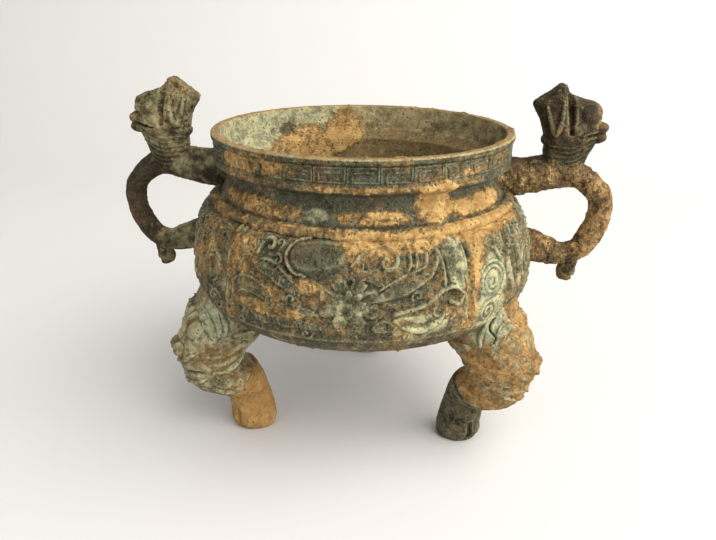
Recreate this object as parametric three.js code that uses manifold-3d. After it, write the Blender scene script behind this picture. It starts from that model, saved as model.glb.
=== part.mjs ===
import * as THREE from 'three';
import { mergeVertices } from 'three/addons/utils/BufferGeometryUtils.js';
import Module from 'manifold-3d';

const wasm = await Module();
wasm.setup();

// Sizes in millimetres. Heights are measured up from the floor, radii out from the bowl's axis.
const RIM_Z = 117.5;
const RIM_R = 56.5;
const LIP_THICK = 3.0;
const BAND_GROUND_R = 55.5;
const BAND_TOP_Z = 115.2;
const BAND_LOW_Z = 109.4;
const BAND_FOOT_Z = 106.6;
const NECK_R = 51.0;
const NECK_Z = 102.0;
const GROOVE_R = 54.2;
const GROOVE_Z = 95.3;
const COLLAR_R = 57.4;
const COLLAR_Z = 93.3;
const SHOULDER_R = 56.2;
const SHOULDER_Z = 91.6;
const BELLY_R = 65.2;
const BELLY_Z = 67.5;
const UPPER_POWER = 1.95;
const LOWER_POWER = 2.5;
const BASE_R = 24.0;
const BASE_Z = 46.3;
const WALL = 3.2;
const FLOOR_THICK = 4.0;
const BOWL_SEGMENTS = 36;

// Bronze under patina and soil.
const BRONZE = new THREE.MeshStandardMaterial({ color: 0x6b6248, roughness: 0.78, metalness: 0.35 });

// Superellipse arc between a widest point and an end, as a radius at a height.
function bellyRadius(z) {
  if (z >= BELLY_Z) {
    const t = Math.min(1, (z - BELLY_Z) / (SHOULDER_Z - BELLY_Z));
    return SHOULDER_R + (BELLY_R - SHOULDER_R) * Math.pow(1 - Math.pow(t, UPPER_POWER), 1 / UPPER_POWER);
  }
  const t = Math.min(1, (BELLY_Z - z) / (BELLY_Z - BASE_Z));
  return BASE_R + (BELLY_R - BASE_R) * Math.pow(1 - Math.pow(t, LOWER_POWER), 1 / LOWER_POWER);
}

// Points along one quarter of the belly, spread evenly by angle.
function bellyArc(fromR, fromZ, toR, toZ, power, steps) {
  const points = [];
  for (let i = 0; i <= steps; i++) {
    const angle = (i / steps) * Math.PI / 2;
    const across = Math.pow(Math.cos(angle), 2 / power);
    const along = Math.pow(Math.sin(angle), 2 / power);
    points.push(new THREE.Vector2(toR + (fromR - toR) * across, fromZ + (toZ - fromZ) * along));
  }
  return points;
}

// A closed triangle mesh as a solid, turned right side out and moved into place.
function solidFrom(geometry, matrix) {
  const bare = geometry.index ? geometry.clone() : geometry;
  bare.deleteAttribute('normal');
  bare.deleteAttribute('uv');
  const merged = mergeVertices(bare, 1e-4);
  if (matrix) merged.applyMatrix4(matrix);
  const position = merged.attributes.position;
  const index = Array.from(merged.index.array);
  const triangles = [];
  let volume = 0;
  const a = new THREE.Vector3();
  const b = new THREE.Vector3();
  const c = new THREE.Vector3();
  for (let i = 0; i < index.length; i += 3) {
    const [p, q, r] = [index[i], index[i + 1], index[i + 2]];
    if (p === q || q === r || r === p) continue;
    a.fromBufferAttribute(position, p);
    b.fromBufferAttribute(position, q);
    c.fromBufferAttribute(position, r);
    volume += a.dot(b.clone().cross(c));
    triangles.push(p, q, r);
  }
  if (volume < 0) {
    for (let i = 0; i < triangles.length; i += 3) {
      [triangles[i + 1], triangles[i + 2]] = [triangles[i + 2], triangles[i + 1]];
    }
  }
  const mesh = new wasm.Mesh({
    numProp: 3,
    vertProperties: new Float32Array(position.array),
    triVerts: new Uint32Array(triangles),
  });
  return new wasm.Manifold(mesh);
}

// Rings of equal length skinned one to the next, with a fan closing each end.
function skin(rings) {
  const count = rings[0].length;
  const positions = [];
  const index = [];
  for (const ring of rings) {
    for (const point of ring) positions.push(point.x, point.y, point.z);
  }
  for (let i = 0; i + 1 < rings.length; i++) {
    for (let j = 0; j < count; j++) {
      const next = (j + 1) % count;
      const [p, q] = [i * count + j, i * count + next];
      index.push(p, q, q + count, p, q + count, p + count);
    }
  }
  for (const [row, flip] of [[0, true], [rings.length - 1, false]]) {
    const centre = new THREE.Vector3();
    for (const point of rings[row]) centre.addScaledVector(point, 1 / count);
    const hub = positions.length / 3;
    positions.push(centre.x, centre.y, centre.z);
    for (let j = 0; j < count; j++) {
      const [p, q] = [row * count + j, row * count + (j + 1) % count];
      index.push(...(flip ? [hub, q, p] : [hub, p, q]));
    }
  }
  const geometry = new THREE.BufferGeometry();
  geometry.setAttribute('position', new THREE.Float32BufferAttribute(positions, 3));
  geometry.setIndex(index);
  return geometry;
}

// Level sections stacked upward: each gives a height, an inner and outer reach and a half width.
function stacked(levels, count, taper) {
  const rings = levels.map(({ z, inner, outer, half }) => {
    const ring = [];
    for (let j = 0; j < count; j++) {
      const angle = (j / count) * Math.PI * 2;
      const cos = Math.sign(Math.cos(angle)) * Math.pow(Math.abs(Math.cos(angle)), 0.85);
      const sin = Math.sign(Math.sin(angle)) * Math.pow(Math.abs(Math.sin(angle)), 0.85);
      const reach = (inner + outer) / 2 + (outer - inner) / 2 * cos;
      ring.push(new THREE.Vector3(reach, half * sin * (1 - taper * (1 + cos) / 2), z));
    }
    return ring;
  });
  return skin(rings);
}

// An oval bar following a curve in the plane y = 0, its half sizes read along the way.
function bar(points, steps, count, halfAt) {
  const curve = new THREE.CatmullRomCurve3(points.map(([x, z]) => new THREE.Vector3(x, 0, z)));
  const rings = [];
  for (let i = 0; i <= steps; i++) {
    const t = i / steps;
    const centre = curve.getPointAt(t);
    const along = curve.getTangentAt(t);
    const side = new THREE.Vector3(-along.z, 0, along.x);
    const { tall, wide } = halfAt(t);
    const ring = [];
    for (let j = 0; j < count; j++) {
      const angle = (j / count) * Math.PI * 2;
      ring.push(centre.clone()
        .addScaledVector(side, tall * Math.cos(angle))
        .add(new THREE.Vector3(0, wide * Math.sin(angle), 0)));
    }
    rings.push(ring);
  }
  return skin(rings);
}

// An egg-shaped lump with its half sizes along x, y and z.
function lump(x, y, z, halfX, halfY, halfZ, around = 7, up = 4) {
  const matrix = new THREE.Matrix4().makeTranslation(x, y, z);
  matrix.multiply(new THREE.Matrix4().makeScale(halfX, halfY, halfZ));
  return solidFrom(new THREE.SphereGeometry(1, around, up), matrix);
}

// A profile of radius and height turned about the upright axis.
function turned(profile) {
  const upright = new THREE.Matrix4().makeRotationX(Math.PI / 2);
  return solidFrom(new THREE.LatheGeometry(profile, BOWL_SEGMENTS), upright);
}

// Values read between named stops of a path from 0 to 1.
function between(stops, t) {
  for (let i = 0; i + 1 < stops.length; i++) {
    const [from, low] = stops[i];
    const [to, high] = stops[i + 1];
    if (t <= to) return low + (high - low) * (t - from) / (to - from);
  }
  return stops[stops.length - 1][1];
}

// Bowl as one turned body, outside up to the lip, then down the inside.
function bowlOutside() {
  const profile = [
    new THREE.Vector2(0, BASE_Z),
    ...bellyArc(BELLY_R, BELLY_Z, BASE_R, BASE_Z, LOWER_POWER, 7).reverse(),
    ...bellyArc(BELLY_R, BELLY_Z, SHOULDER_R, SHOULDER_Z, UPPER_POWER, 6).slice(1),
    new THREE.Vector2(COLLAR_R, SHOULDER_Z + 0.5),
    new THREE.Vector2(COLLAR_R, COLLAR_Z + 0.4),
    new THREE.Vector2(GROOVE_R, GROOVE_Z),
    new THREE.Vector2(NECK_R, NECK_Z),
    new THREE.Vector2(NECK_R + 0.2, BAND_FOOT_Z - 2.2),
    new THREE.Vector2(RIM_R - 0.8, BAND_FOOT_Z),
    new THREE.Vector2(RIM_R - 0.5, BAND_LOW_Z - 0.3),
    new THREE.Vector2(BAND_GROUND_R, BAND_LOW_Z),
    new THREE.Vector2(BAND_GROUND_R, BAND_TOP_Z),
    new THREE.Vector2(RIM_R, BAND_TOP_Z + 0.4),
    new THREE.Vector2(RIM_R, RIM_Z),
    new THREE.Vector2(0, RIM_Z),
  ];
  return turned(profile);
}

function bowlInside() {
  const inner = BELLY_R - WALL;
  const profile = [
    new THREE.Vector2(0, BASE_Z + FLOOR_THICK),
    ...bellyArc(inner, BELLY_Z, BASE_R - 2, BASE_Z + FLOOR_THICK, LOWER_POWER, 5).reverse(),
    ...bellyArc(inner, BELLY_Z, SHOULDER_R - WALL - 0.4, SHOULDER_Z - 1.5, UPPER_POWER, 4).slice(1),
    new THREE.Vector2(NECK_R - WALL + 0.4, NECK_Z - 4),
    new THREE.Vector2(NECK_R - WALL + 0.4, NECK_Z + 2),
    new THREE.Vector2(RIM_R - LIP_THICK - 0.6, BAND_FOOT_Z + 1.5),
    new THREE.Vector2(RIM_R - LIP_THICK, RIM_Z),
    new THREE.Vector2(RIM_R - LIP_THICK, RIM_Z + 2),
    new THREE.Vector2(0, RIM_Z + 2),
  ];
  return turned(profile);
}

// Beast leg in its own radial plane: paw, round shank, a notch under the belly, overhanging muzzle and a brow.
const LEG_ANGLES = [-60, 60, 180];
const PAW_INNER = 41.0;
const PAW_OUTER = 53.0;
const SNOUT_R = 76.8;
const SNOUT_Z = 40.0;
const MASK_HALF = 15.0;
const SHANK_HALF = 7.2;
const CHIN_Z = 17.5;
const BROW_Z = 65.0;
const NOTCH_Z = 35.0;
const NOTCH = 11.0;

function legBody() {
  const levels = [
    { z: 0, inner: PAW_INNER, outer: PAW_OUTER, half: SHANK_HALF - 0.6 },
    { z: 1.4, inner: PAW_INNER - 1.3, outer: PAW_OUTER + 1.9, half: SHANK_HALF + 0.6 },
    { z: 4.5, inner: PAW_INNER - 1.7, outer: PAW_OUTER + 3.4, half: SHANK_HALF + 1.0 },
    { z: 8.0, inner: PAW_INNER - 1.4, outer: PAW_OUTER + 3.4, half: SHANK_HALF + 0.4 },
    { z: CHIN_Z - 2.5, inner: PAW_INNER + 0.2, outer: PAW_OUTER + 4.4, half: SHANK_HALF - 0.2 },
    { z: CHIN_Z, inner: PAW_INNER + 0.9, outer: PAW_OUTER + 7.0, half: SHANK_HALF + 1.2 },
    { z: CHIN_Z + 3, inner: PAW_INNER + 1.8, outer: SNOUT_R - 9.6, half: MASK_HALF - 4.4 },
    { z: CHIN_Z + 6, inner: PAW_INNER + 2.8, outer: SNOUT_R - 5.8, half: MASK_HALF - 3.0 },
    { z: NOTCH_Z - 6, inner: PAW_INNER + 5.4, outer: SNOUT_R - 2.8, half: MASK_HALF - 2.2 },
    { z: NOTCH_Z - 2.6, inner: PAW_INNER + NOTCH - 1.4, outer: SNOUT_R - 1.8, half: MASK_HALF - 1.8 },
    { z: NOTCH_Z + 1, inner: PAW_INNER + NOTCH, outer: SNOUT_R - 1.0, half: MASK_HALF - 1.6 },
    { z: SNOUT_Z, inner: PAW_INNER + NOTCH - 2.0, outer: SNOUT_R, half: MASK_HALF - 1.0 },
    { z: SNOUT_Z + 4.5, inner: PAW_INNER + 4.0, outer: SNOUT_R - 2.2, half: MASK_HALF },
    { z: SNOUT_Z + 9, inner: PAW_INNER + 3.0, outer: SNOUT_R - 4.8, half: MASK_HALF + 0.6 },
    { z: SNOUT_Z + 15, inner: PAW_INNER + 7.0, outer: SNOUT_R - 8.0, half: MASK_HALF + 0.4 },
    { z: BROW_Z - 4, inner: PAW_INNER + 11.0, outer: SNOUT_R - 11.4, half: MASK_HALF - 0.8 },
    { z: BROW_Z, inner: PAW_INNER + 15.0, outer: SNOUT_R - 13.6, half: MASK_HALF - 4.5 },
  ];
  return solidFrom(stacked(levels, 14, 0.26));
}

function leg() {
  let solid = legBody();
  for (const side of [-1, 1]) {
    solid = solid.add(lump(SNOUT_R - 7.4, side * 6.8, SNOUT_Z + 9, 3.8, 3.6, 3.2));
  }
  solid = solid.add(lump(SNOUT_R - 2.2, 0, SNOUT_Z + 1.5, 3.2, 5.8, 3.0));
  const mouth = lump(SNOUT_R, 0, SNOUT_Z - 8, 3.4, 9, 1.3, 10, 4);
  solid = solid.subtract(mouth);
  for (const across of [-2.8, 2.8]) {
    const groove = new THREE.CylinderGeometry(1.1, 1.1, 9, 5);
    const matrix = new THREE.Matrix4().makeTranslation(PAW_OUTER + 3.7 - Math.abs(across) * 0.32, across, 4.2);
    matrix.multiply(new THREE.Matrix4().makeRotationX(Math.PI / 2));
    solid = solid.subtract(solidFrom(groove, matrix));
  }
  return solid;
}

// Handle in the plane y = 0: arm from the neck, ring, lower root and a hanging curl, with a beast head on top.
const ARM_Z = 101.6;
const ARM_HALF = 7.6;
const RING_HALF = 4.1;
const RING_R = 91.2;
const RING_Z = 88.0;
const ROOT_Z = 72.4;
const CURL_X = 81.6;
const CURL_Z = 62.0;
const CURL_R = 4.2;
const HEAD_Z = 105.0;
const HEAD_TOP = 134.5;
const HEAD_INNER = 66.6;
const HEAD_OUTER = 83.0;
const HEAD_HALF = 6.6;

function handle() {
  const path = [
    [50.5, ARM_Z - 1.8], [62, ARM_Z - 0.8], [72, ARM_Z + 0.8], [80, ARM_Z + 0.2], [86.6, ARM_Z - 4],
    [RING_R - 0.6, RING_Z + 4.4], [RING_R - 0.2, RING_Z - 3.2], [88.4, RING_Z - 10.4],
    [83.8, ROOT_Z - 0.6], [77, ROOT_Z - 2.4], [70, ROOT_Z - 0.6], [61.8, ROOT_Z + 1],
  ];
  const tallStops = [[0, ARM_HALF], [0.2, ARM_HALF - 1.2], [0.34, RING_HALF], [0.8, RING_HALF],
    [0.9, RING_HALF + 1.4], [1, RING_HALF + 3]];
  const wideStops = [[0, 5.2], [0.25, 4.8], [0.4, RING_HALF - 0.3], [0.85, RING_HALF - 0.3], [1, 5.0]];
  let solid = solidFrom(bar(path, 22, 8, (t) => ({
    tall: between(tallStops, t),
    wide: between(wideStops, t),
  })));
  const levels = [
    { z: HEAD_Z - 4, inner: HEAD_INNER + 1.6, outer: HEAD_OUTER - 0.6, half: HEAD_HALF - 2.0 },
    { z: HEAD_Z, inner: HEAD_INNER + 1.2, outer: HEAD_OUTER, half: HEAD_HALF - 1.4 },
    { z: HEAD_Z + 5, inner: HEAD_INNER + 1.0, outer: HEAD_OUTER + 1.2, half: HEAD_HALF - 0.8 },
    { z: HEAD_Z + 10, inner: HEAD_INNER + 0.6, outer: HEAD_OUTER + 3.4, half: HEAD_HALF },
    { z: HEAD_Z + 14, inner: HEAD_INNER - 0.4, outer: HEAD_OUTER + 4.2, half: HEAD_HALF + 0.4 },
    { z: HEAD_Z + 18, inner: HEAD_INNER - 2.0, outer: HEAD_OUTER + 3.4, half: HEAD_HALF + 0.2 },
    { z: HEAD_Z + 22.5, inner: HEAD_INNER - 4.4, outer: HEAD_OUTER + 1.4, half: HEAD_HALF - 0.6 },
    { z: HEAD_Z + 24.5, inner: HEAD_INNER - 2.6, outer: HEAD_OUTER - 2.6, half: HEAD_HALF - 1.0 },
    { z: HEAD_Z + 26.4, inner: HEAD_INNER + 0.4, outer: HEAD_OUTER - 7.4, half: HEAD_HALF - 1.6 },
    { z: HEAD_TOP, inner: HEAD_INNER + 4.4, outer: HEAD_OUTER - 9.8, half: HEAD_HALF - 2.6 },
  ];
  solid = solid.add(solidFrom(stacked(levels, 11, 0)));
  solid = solid.add(lump(HEAD_OUTER + 4.6, 0, HEAD_Z + 11.2, 2.4, 3.2, 2.0));
  solid = solid.add(lump(HEAD_OUTER + 4.0, 0, HEAD_Z + 16.4, 2.2, 3.0, 2.0));
  solid = solid.add(lump(HEAD_OUTER - 3.0, 0, HEAD_Z + 24.4, 2.6, 4.6, 2.0));
  for (const side of [-1, 1]) {
    solid = solid.add(lump(HEAD_OUTER - 9.5, side * 5.6, HEAD_Z + 19, 2.6, 2.2, 2.4));
  }
  const bite = lump(HEAD_INNER - 1.6, 0, HEAD_Z + 15.6, 4.6, 9, 1.5, 10, 4);
  solid = solid.subtract(bite);
  const drop = [[CURL_X + 0.6, ROOT_Z - 1.5], [CURL_X - 0.2, CURL_Z + 4], [CURL_X + 0.4, CURL_Z - 1]];
  solid = solid.add(solidFrom(bar(drop, 3, 6, () => ({ tall: 2.9, wide: 2.9 }))));
  const curl = new THREE.CylinderGeometry(CURL_R, CURL_R, 7, 12);
  solid = solid.add(solidFrom(curl, new THREE.Matrix4().makeTranslation(CURL_X, 0, CURL_Z)));
  return solid;
}

// Low lotus flower with a scrolling stem to either side, laid on the belly between two legs.
const FLOWER_Z = 65.5;
const FLOWER_R = 7.6;
const PETALS = 7;
const STEM_HALF = 1.4;
const SCROLL_X = 19.5;
const SCROLL_Z = 73.0;
const SCROLL_R = 10.5;

function onBelly(azimuth, z, lift) {
  const radius = bellyRadius(z) + lift;
  const angle = THREE.MathUtils.degToRad(azimuth);
  return new THREE.Vector3(radius * Math.sin(angle), -radius * Math.cos(angle), z);
}

function flower() {
  const rings = [[0.9, -1.6], [1, 1.3], [0.55, 1.9], [0.34, 1.1]].map(([share, lift]) => {
    const ring = [];
    for (let j = 0; j < PETALS * 3; j++) {
      const angle = (j / (PETALS * 3)) * Math.PI * 2;
      const reach = FLOWER_R * share * (1 + 0.16 * Math.cos(PETALS * angle));
      const azimuth = THREE.MathUtils.radToDeg(reach * Math.cos(angle) / BELLY_R);
      ring.push(onBelly(azimuth, FLOWER_Z + reach * 0.85 * Math.sin(angle), lift));
    }
    return ring;
  });
  return solidFrom(skin(rings));
}

function panel() {
  let solid = flower();
  for (const side of [-1, 1]) {
    const rings = [];
    const steps = 14;
    for (let i = 0; i <= steps; i++) {
      const t = i / steps;
      const turn = THREE.MathUtils.degToRad(-150 + 400 * t);
      const reach = SCROLL_R * (1 - 0.72 * t);
      const across = SCROLL_X + reach * Math.cos(turn);
      const azimuth = side * THREE.MathUtils.radToDeg(across / BELLY_R);
      const centre = onBelly(azimuth, SCROLL_Z + reach * Math.sin(turn), -0.2);
      const outward = new THREE.Vector3(centre.x, centre.y, 0).normalize();
      const inward = new THREE.Vector3(side * Math.cos(turn), 0, Math.sin(turn));
      const half = STEM_HALF * (1 - 0.4 * t);
      rings.push([[1, 0], [0, 1], [-1, 0], [0, -1]].map(([lift, over]) => centre.clone()
        .addScaledVector(outward, half * lift)
        .addScaledVector(inward, half * over)));
    }
    solid = solid.add(solidFrom(skin(rings)));
  }
  return solid;
}

// One casting: everything outside is joined, then the hollow is cut out of it.
let vessel = bowlOutside();
for (const azimuth of LEG_ANGLES) {
  vessel = vessel.add(leg().rotate([0, 0, azimuth - 90]));
}
for (const turn of [0, 180]) {
  vessel = vessel.add(handle().rotate([0, 0, turn]));
}
for (const turn of [0, 120, 240]) {
  vessel = vessel.add(panel().rotate([0, 0, turn]));
}
vessel = vessel.subtract(bowlInside());

const cast = vessel.getMesh();
const geometry = new THREE.BufferGeometry();
geometry.setAttribute('position', new THREE.Float32BufferAttribute(Array.from(cast.vertProperties), 3));
geometry.setIndex(Array.from(cast.triVerts));

// The box's bottom centre is the origin; the rear muzzle reaches further back than the belly does forward.
geometry.computeBoundingBox();
const { min, max } = geometry.boundingBox;
geometry.translate(-(min.x + max.x) / 2, -(min.y + max.y) / 2, -min.z);
geometry.computeVertexNormals();

const mesh = new THREE.Mesh(geometry, BRONZE);
mesh.name = 'vessel';
const group = new THREE.Group();
group.name = 'ding_vessel';
group.add(mesh);
export default group;
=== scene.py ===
"""Small tripod vessel of cast bronze: fine relief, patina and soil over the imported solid."""

import logging
import math
from dataclasses import dataclass, field
from enum import Enum

import bpy
import numpy as np
from mathutils import Matrix, Vector


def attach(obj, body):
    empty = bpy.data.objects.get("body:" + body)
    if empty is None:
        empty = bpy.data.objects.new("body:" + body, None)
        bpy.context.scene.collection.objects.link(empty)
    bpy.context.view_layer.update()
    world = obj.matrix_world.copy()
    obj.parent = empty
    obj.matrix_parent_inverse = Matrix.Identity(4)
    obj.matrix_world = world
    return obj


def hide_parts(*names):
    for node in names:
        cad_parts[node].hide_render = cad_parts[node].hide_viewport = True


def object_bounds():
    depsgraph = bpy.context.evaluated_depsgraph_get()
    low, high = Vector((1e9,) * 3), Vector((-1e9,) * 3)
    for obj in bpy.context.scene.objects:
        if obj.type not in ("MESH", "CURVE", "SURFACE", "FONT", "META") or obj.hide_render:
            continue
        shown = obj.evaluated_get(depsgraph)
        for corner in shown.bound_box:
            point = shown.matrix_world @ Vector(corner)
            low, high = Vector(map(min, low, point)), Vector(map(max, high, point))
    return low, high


LOG = logging.getLogger("ding_vessel")
MM = 0.001

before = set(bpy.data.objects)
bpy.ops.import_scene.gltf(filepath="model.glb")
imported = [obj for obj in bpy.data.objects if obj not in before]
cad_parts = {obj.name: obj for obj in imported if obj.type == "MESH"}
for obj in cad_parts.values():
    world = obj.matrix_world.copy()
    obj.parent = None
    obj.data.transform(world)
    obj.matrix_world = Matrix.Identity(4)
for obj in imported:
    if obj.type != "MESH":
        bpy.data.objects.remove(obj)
CAD_LOW, CAD_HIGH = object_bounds()

# Sizes are in millimetres: heights from the floor, radii from the bowl's axis, which stands at AXIS_Y.
REAR_REACH = 77.48
AXIS_Y = CAD_HIGH[1] / MM - REAR_REACH

# Degrees from the front, toward the right, of the legs and of the panels that face away.
LEG_AZIMUTHS = (-60, 60, 180)
AWAY_AZIMUTHS = (-120, 120)

# Lean at which soil starts to stand as a crust, and at which it is whole.
CRUST_STEP = (0.42, 0.66)

# Exponent that squares off the round sections of legs and heads.
BOXY_POWER = 0.85


class Profile(Enum):
    """How the section of a raised stroke is shaped."""

    RIDGE = "ridge"
    LEAF = "leaf"
    FLAT = "flat"
    DOME = "dome"
    GROOVE = "groove"

    def section(self, q: np.ndarray) -> np.ndarray:
        """Share of a stroke's height across its half width.

        Args:
            q: distance from the spine, from 0 to 1 at the stroke's edge.

        Returns:
            Shares of the full height.
        """
        flat_slope, ridge_power = 0.34, 0.8
        leaf_slope, leaf_ground = 0.12, 0.40
        rim_place, rim_half = 0.84, 0.11
        midrib_height, midrib_half = 0.22, 0.13
        if self is Profile.LEAF:
            rim = np.exp(-(((q - rim_place) / rim_half) ** 2))
            blade = np.clip((1 - q) / leaf_slope, 0, 1) * (leaf_ground + (1 - leaf_ground) * rim)
            return blade + midrib_height * np.exp(-((q / midrib_half) ** 2))
        if self is Profile.FLAT:
            return np.clip((1 - q) / flat_slope, 0, 1)
        if self is Profile.DOME:
            return np.sqrt(1 - q**2)
        return (1 - q**2) ** ridge_power


@dataclass(frozen=True)
class Stroke:
    """One raised or sunk stroke of the ornament, drawn on a flat map in millimetres."""

    points: tuple[tuple[float, float], ...]
    half: tuple[float, ...]
    height: float
    profile: Profile = Profile.RIDGE


@dataclass(frozen=True)
class Patch:
    """An oval patch of soil or verdigris on a map of azimuth and height."""

    azimuth: float
    z: float
    half_azimuth: float
    half_z: float
    amount: float


@dataclass(frozen=True)
class Patina:
    """Colours of one weathered bronze finish."""

    name: str
    dark: tuple[float, float, float]
    light: tuple[float, float, float]
    green: tuple[float, float, float]
    pale: tuple[float, float, float]
    earth_light: tuple[float, float, float]
    earth_dark: tuple[float, float, float]
    russet: tuple[float, float, float] = (0.16, 0.075, 0.045)


BOWL_PATINA = Patina(
    "bowl_patina",
    dark=(0.0092, 0.0112, 0.0082),
    light=(0.057, 0.074, 0.051),
    green=(0.138, 0.182, 0.120),
    pale=(0.50, 0.475, 0.270),
    earth_light=(0.63, 0.425, 0.170),
    earth_dark=(0.23, 0.125, 0.040),
)
LEG_PATINA = Patina(
    "leg_patina",
    dark=(0.014, 0.0134, 0.009),
    light=(0.135, 0.118, 0.062),
    green=(0.172, 0.210, 0.138),
    pale=(0.42, 0.42, 0.26),
    earth_light=(0.50, 0.315, 0.122),
    earth_dark=(0.23, 0.125, 0.040),
)
HANDLE_PATINA = Patina(
    "handle_patina",
    dark=(0.008, 0.0062, 0.0034),
    light=(0.036, 0.030, 0.015),
    green=(0.145, 0.158, 0.086),
    pale=(0.30, 0.265, 0.140),
    earth_light=(0.62, 0.410, 0.180),
    earth_dark=(0.15, 0.085, 0.030),
)


@dataclass(frozen=True)
class Surface:
    """How far carving, crust, pits and the casting's own lumps stand on a piece, in millimetres."""

    relief: float
    crust: float
    pit: float
    lump: float

    def inputs(self, seed: float, skin: bpy.types.Material) -> dict[str, object]:
        """Inputs of the casting tree.

        Args:
            seed: noise seed of the piece.
            skin: its material.

        Returns:
            Input names and values.
        """
        return {
            "Relief Depth": self.relief,
            "Crust Depth": self.crust,
            "Pit Depth": self.pit,
            "Lump Depth": self.lump,
            "Seed": seed,
            "Material": skin,
        }


@dataclass(frozen=True)
class Burial:
    """How one leg or handle came out of the ground: soil, verdigris, a film of dust and any crack."""

    soil: float
    green: float
    low_soil: float
    low_green: float
    film: float = 0.1
    crack: tuple[tuple[float, float], ...] = ()

    def soil_at(self, low: np.ndarray) -> np.ndarray:
        """Soil, going over to that of the lower part by a share."""
        return self.soil + (self.low_soil - self.soil) * low

    def green_at(self, low: np.ndarray) -> np.ndarray:
        """Verdigris, going over to that of the lower part by a share."""
        return self.green + (self.low_green - self.green) * low


# Path of the crack on the right leg's flank, by reach and height in millimetres.
RIGHT_CRACK = (
    (61.0, 65.0),
    (62.9, 61.0),
    (63.4, 59.0),
    (62.8, 56.6),
    (63.3, 54.6),
    (65.0, 52.6),
    (64.6, 50.4),
)

# What the ground left on each leg, in the order of LEG_AZIMUTHS, and on each handle.
LEG_BURIALS = {
    "left_leg": Burial(soil=0.34, green=0.58, low_soil=1.00, low_green=0.1, film=0.22),
    "right_leg": Burial(soil=0.64, green=0.64, low_soil=0.02, low_green=0.10, film=0.30, crack=RIGHT_CRACK),
    "rear_leg": Burial(soil=0.44, green=0.30, low_soil=0.4, low_green=0.2, film=0.3),
}
HANDLE_BURIALS = {
    "right_handle": Burial(soil=0.10, green=0.06, low_soil=0.72, low_green=0.10, film=0.03),
    "left_handle": Burial(soil=0.16, green=0.46, low_soil=0.04, low_green=0.12, film=0.05),
}
HANDLE_TURNS = (0, 180)


def sampled(values: list[tuple[float, ...]], count: int) -> np.ndarray:
    """Points spread evenly along a smooth curve through the given points.

    Args:
        values: points of any dimension that the curve passes through.
        count: how many points to return.

    Returns:
        An array of count points.
    """
    span_steps = 24
    knots = np.asarray(values, float)
    padded = np.vstack([2 * knots[0] - knots[1], knots, 2 * knots[-1] - knots[-2]])
    t = np.linspace(0, 1, span_steps, endpoint=False)[:, None]
    spans = []
    for a, b, c, d in zip(padded, padded[1:], padded[2:], padded[3:]):
        square, cube = 2 * a - 5 * b + 4 * c - d, 3 * b - a - 3 * c + d
        spans.append(0.5 * (2 * b + (c - a) * t + square * t**2 + cube * t**3))
    dense = np.vstack([*spans, knots[-1:]])
    length = np.concatenate([[0], np.cumsum(np.linalg.norm(np.diff(dense, axis=0), axis=1))])
    even = np.linspace(0, length[-1], count)
    return np.stack([np.interp(even, length, column) for column in dense.T], -1)


def spiral(u: float, v: float, outer: float, turns: float, start: float, hand: int = 1) -> tuple:
    """Points of a spiral that winds inward about a centre.

    Args:
        u: centre across.
        v: centre down.
        outer: radius where the spiral starts.
        turns: number of turns to its middle.
        start: start angle in degrees.
        hand: 1 or -1, the way it winds.

    Returns:
        A tuple of points.
    """
    steps_a_turn, wound_in = 14, 0.86
    points = []
    for t in np.linspace(0, 1, int(steps_a_turn * turns) + 2):
        angle = math.radians(start) + hand * t * turns * math.tau
        reach = outer * (1 - wound_in * t)
        points.append((u + reach * math.cos(angle), v + reach * math.sin(angle)))
    return tuple(points)


def raised(u: np.ndarray, v: np.ndarray, strokes: list[Stroke]) -> np.ndarray:
    """Height of the strokes at every place of a map.

    Args:
        u: places across.
        v: places down.
        strokes: the strokes to lay, the higher of two winning.

    Returns:
        Heights in millimetres, grooves below zero.
    """
    step_share, least_steps = 0.3, 6
    height = np.zeros_like(u)
    for stroke in strokes:
        knots = np.asarray(stroke.points)
        length = np.hypot(*np.diff(knots, axis=0).T).sum()
        count = max(least_steps, math.ceil(length / (step_share * min(stroke.half))))
        spine = sampled(list(stroke.points), count)
        widths = np.interp(np.linspace(0, 1, len(spine)), np.linspace(0, 1, len(stroke.half)), stroke.half)
        reach = max(stroke.half)
        low, high = spine.min(0) - reach, spine.max(0) + reach
        near = (u > low[0]) & (u < high[0]) & (v > low[1]) & (v < high[1])
        if not near.any():
            continue
        gap = np.hypot(u[near][:, None] - spine[:, 0], v[near][:, None] - spine[:, 1]) / widths
        stands = stroke.height * stroke.profile.section(np.clip(gap.min(1), 0, 1))
        if stroke.profile is Profile.GROOVE:
            height[near] -= stands
        else:
            height[near] = np.maximum(height[near], stands)
    return height


def turn_from(azimuth: np.ndarray, centre: float) -> np.ndarray:
    """Degrees from a centre to each azimuth, the short way round."""
    return (azimuth - centre + 180) % 360 - 180


def hump(value: np.ndarray, centre: float, half: float) -> np.ndarray:
    """One at the centre, falling softly to nothing a few half widths away."""
    return np.exp(-(((value - centre) / half) ** 2))


def ramp(value: np.ndarray, start: float, length: float) -> np.ndarray:
    """Nothing up to the start, then a straight rise to one over the length."""
    return np.clip((value - start) / length, 0, 1)


def patched(azimuth: np.ndarray, z: np.ndarray, patches: list[Patch]) -> np.ndarray:
    """Sum of soft oval patches over a surface.

    Args:
        azimuth: degrees from the front, toward the right.
        z: heights in millimetres.
        patches: the patches to add.

    Returns:
        The summed amounts.
    """
    edge = 1.6
    total = np.zeros_like(azimuth)
    for patch in patches:
        turn = turn_from(azimuth, patch.azimuth)
        far = (turn / patch.half_azimuth) ** 2 + ((z - patch.z) / patch.half_z) ** 2
        total += patch.amount * np.clip(edge - far, 0, 1)
    return total


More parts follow.
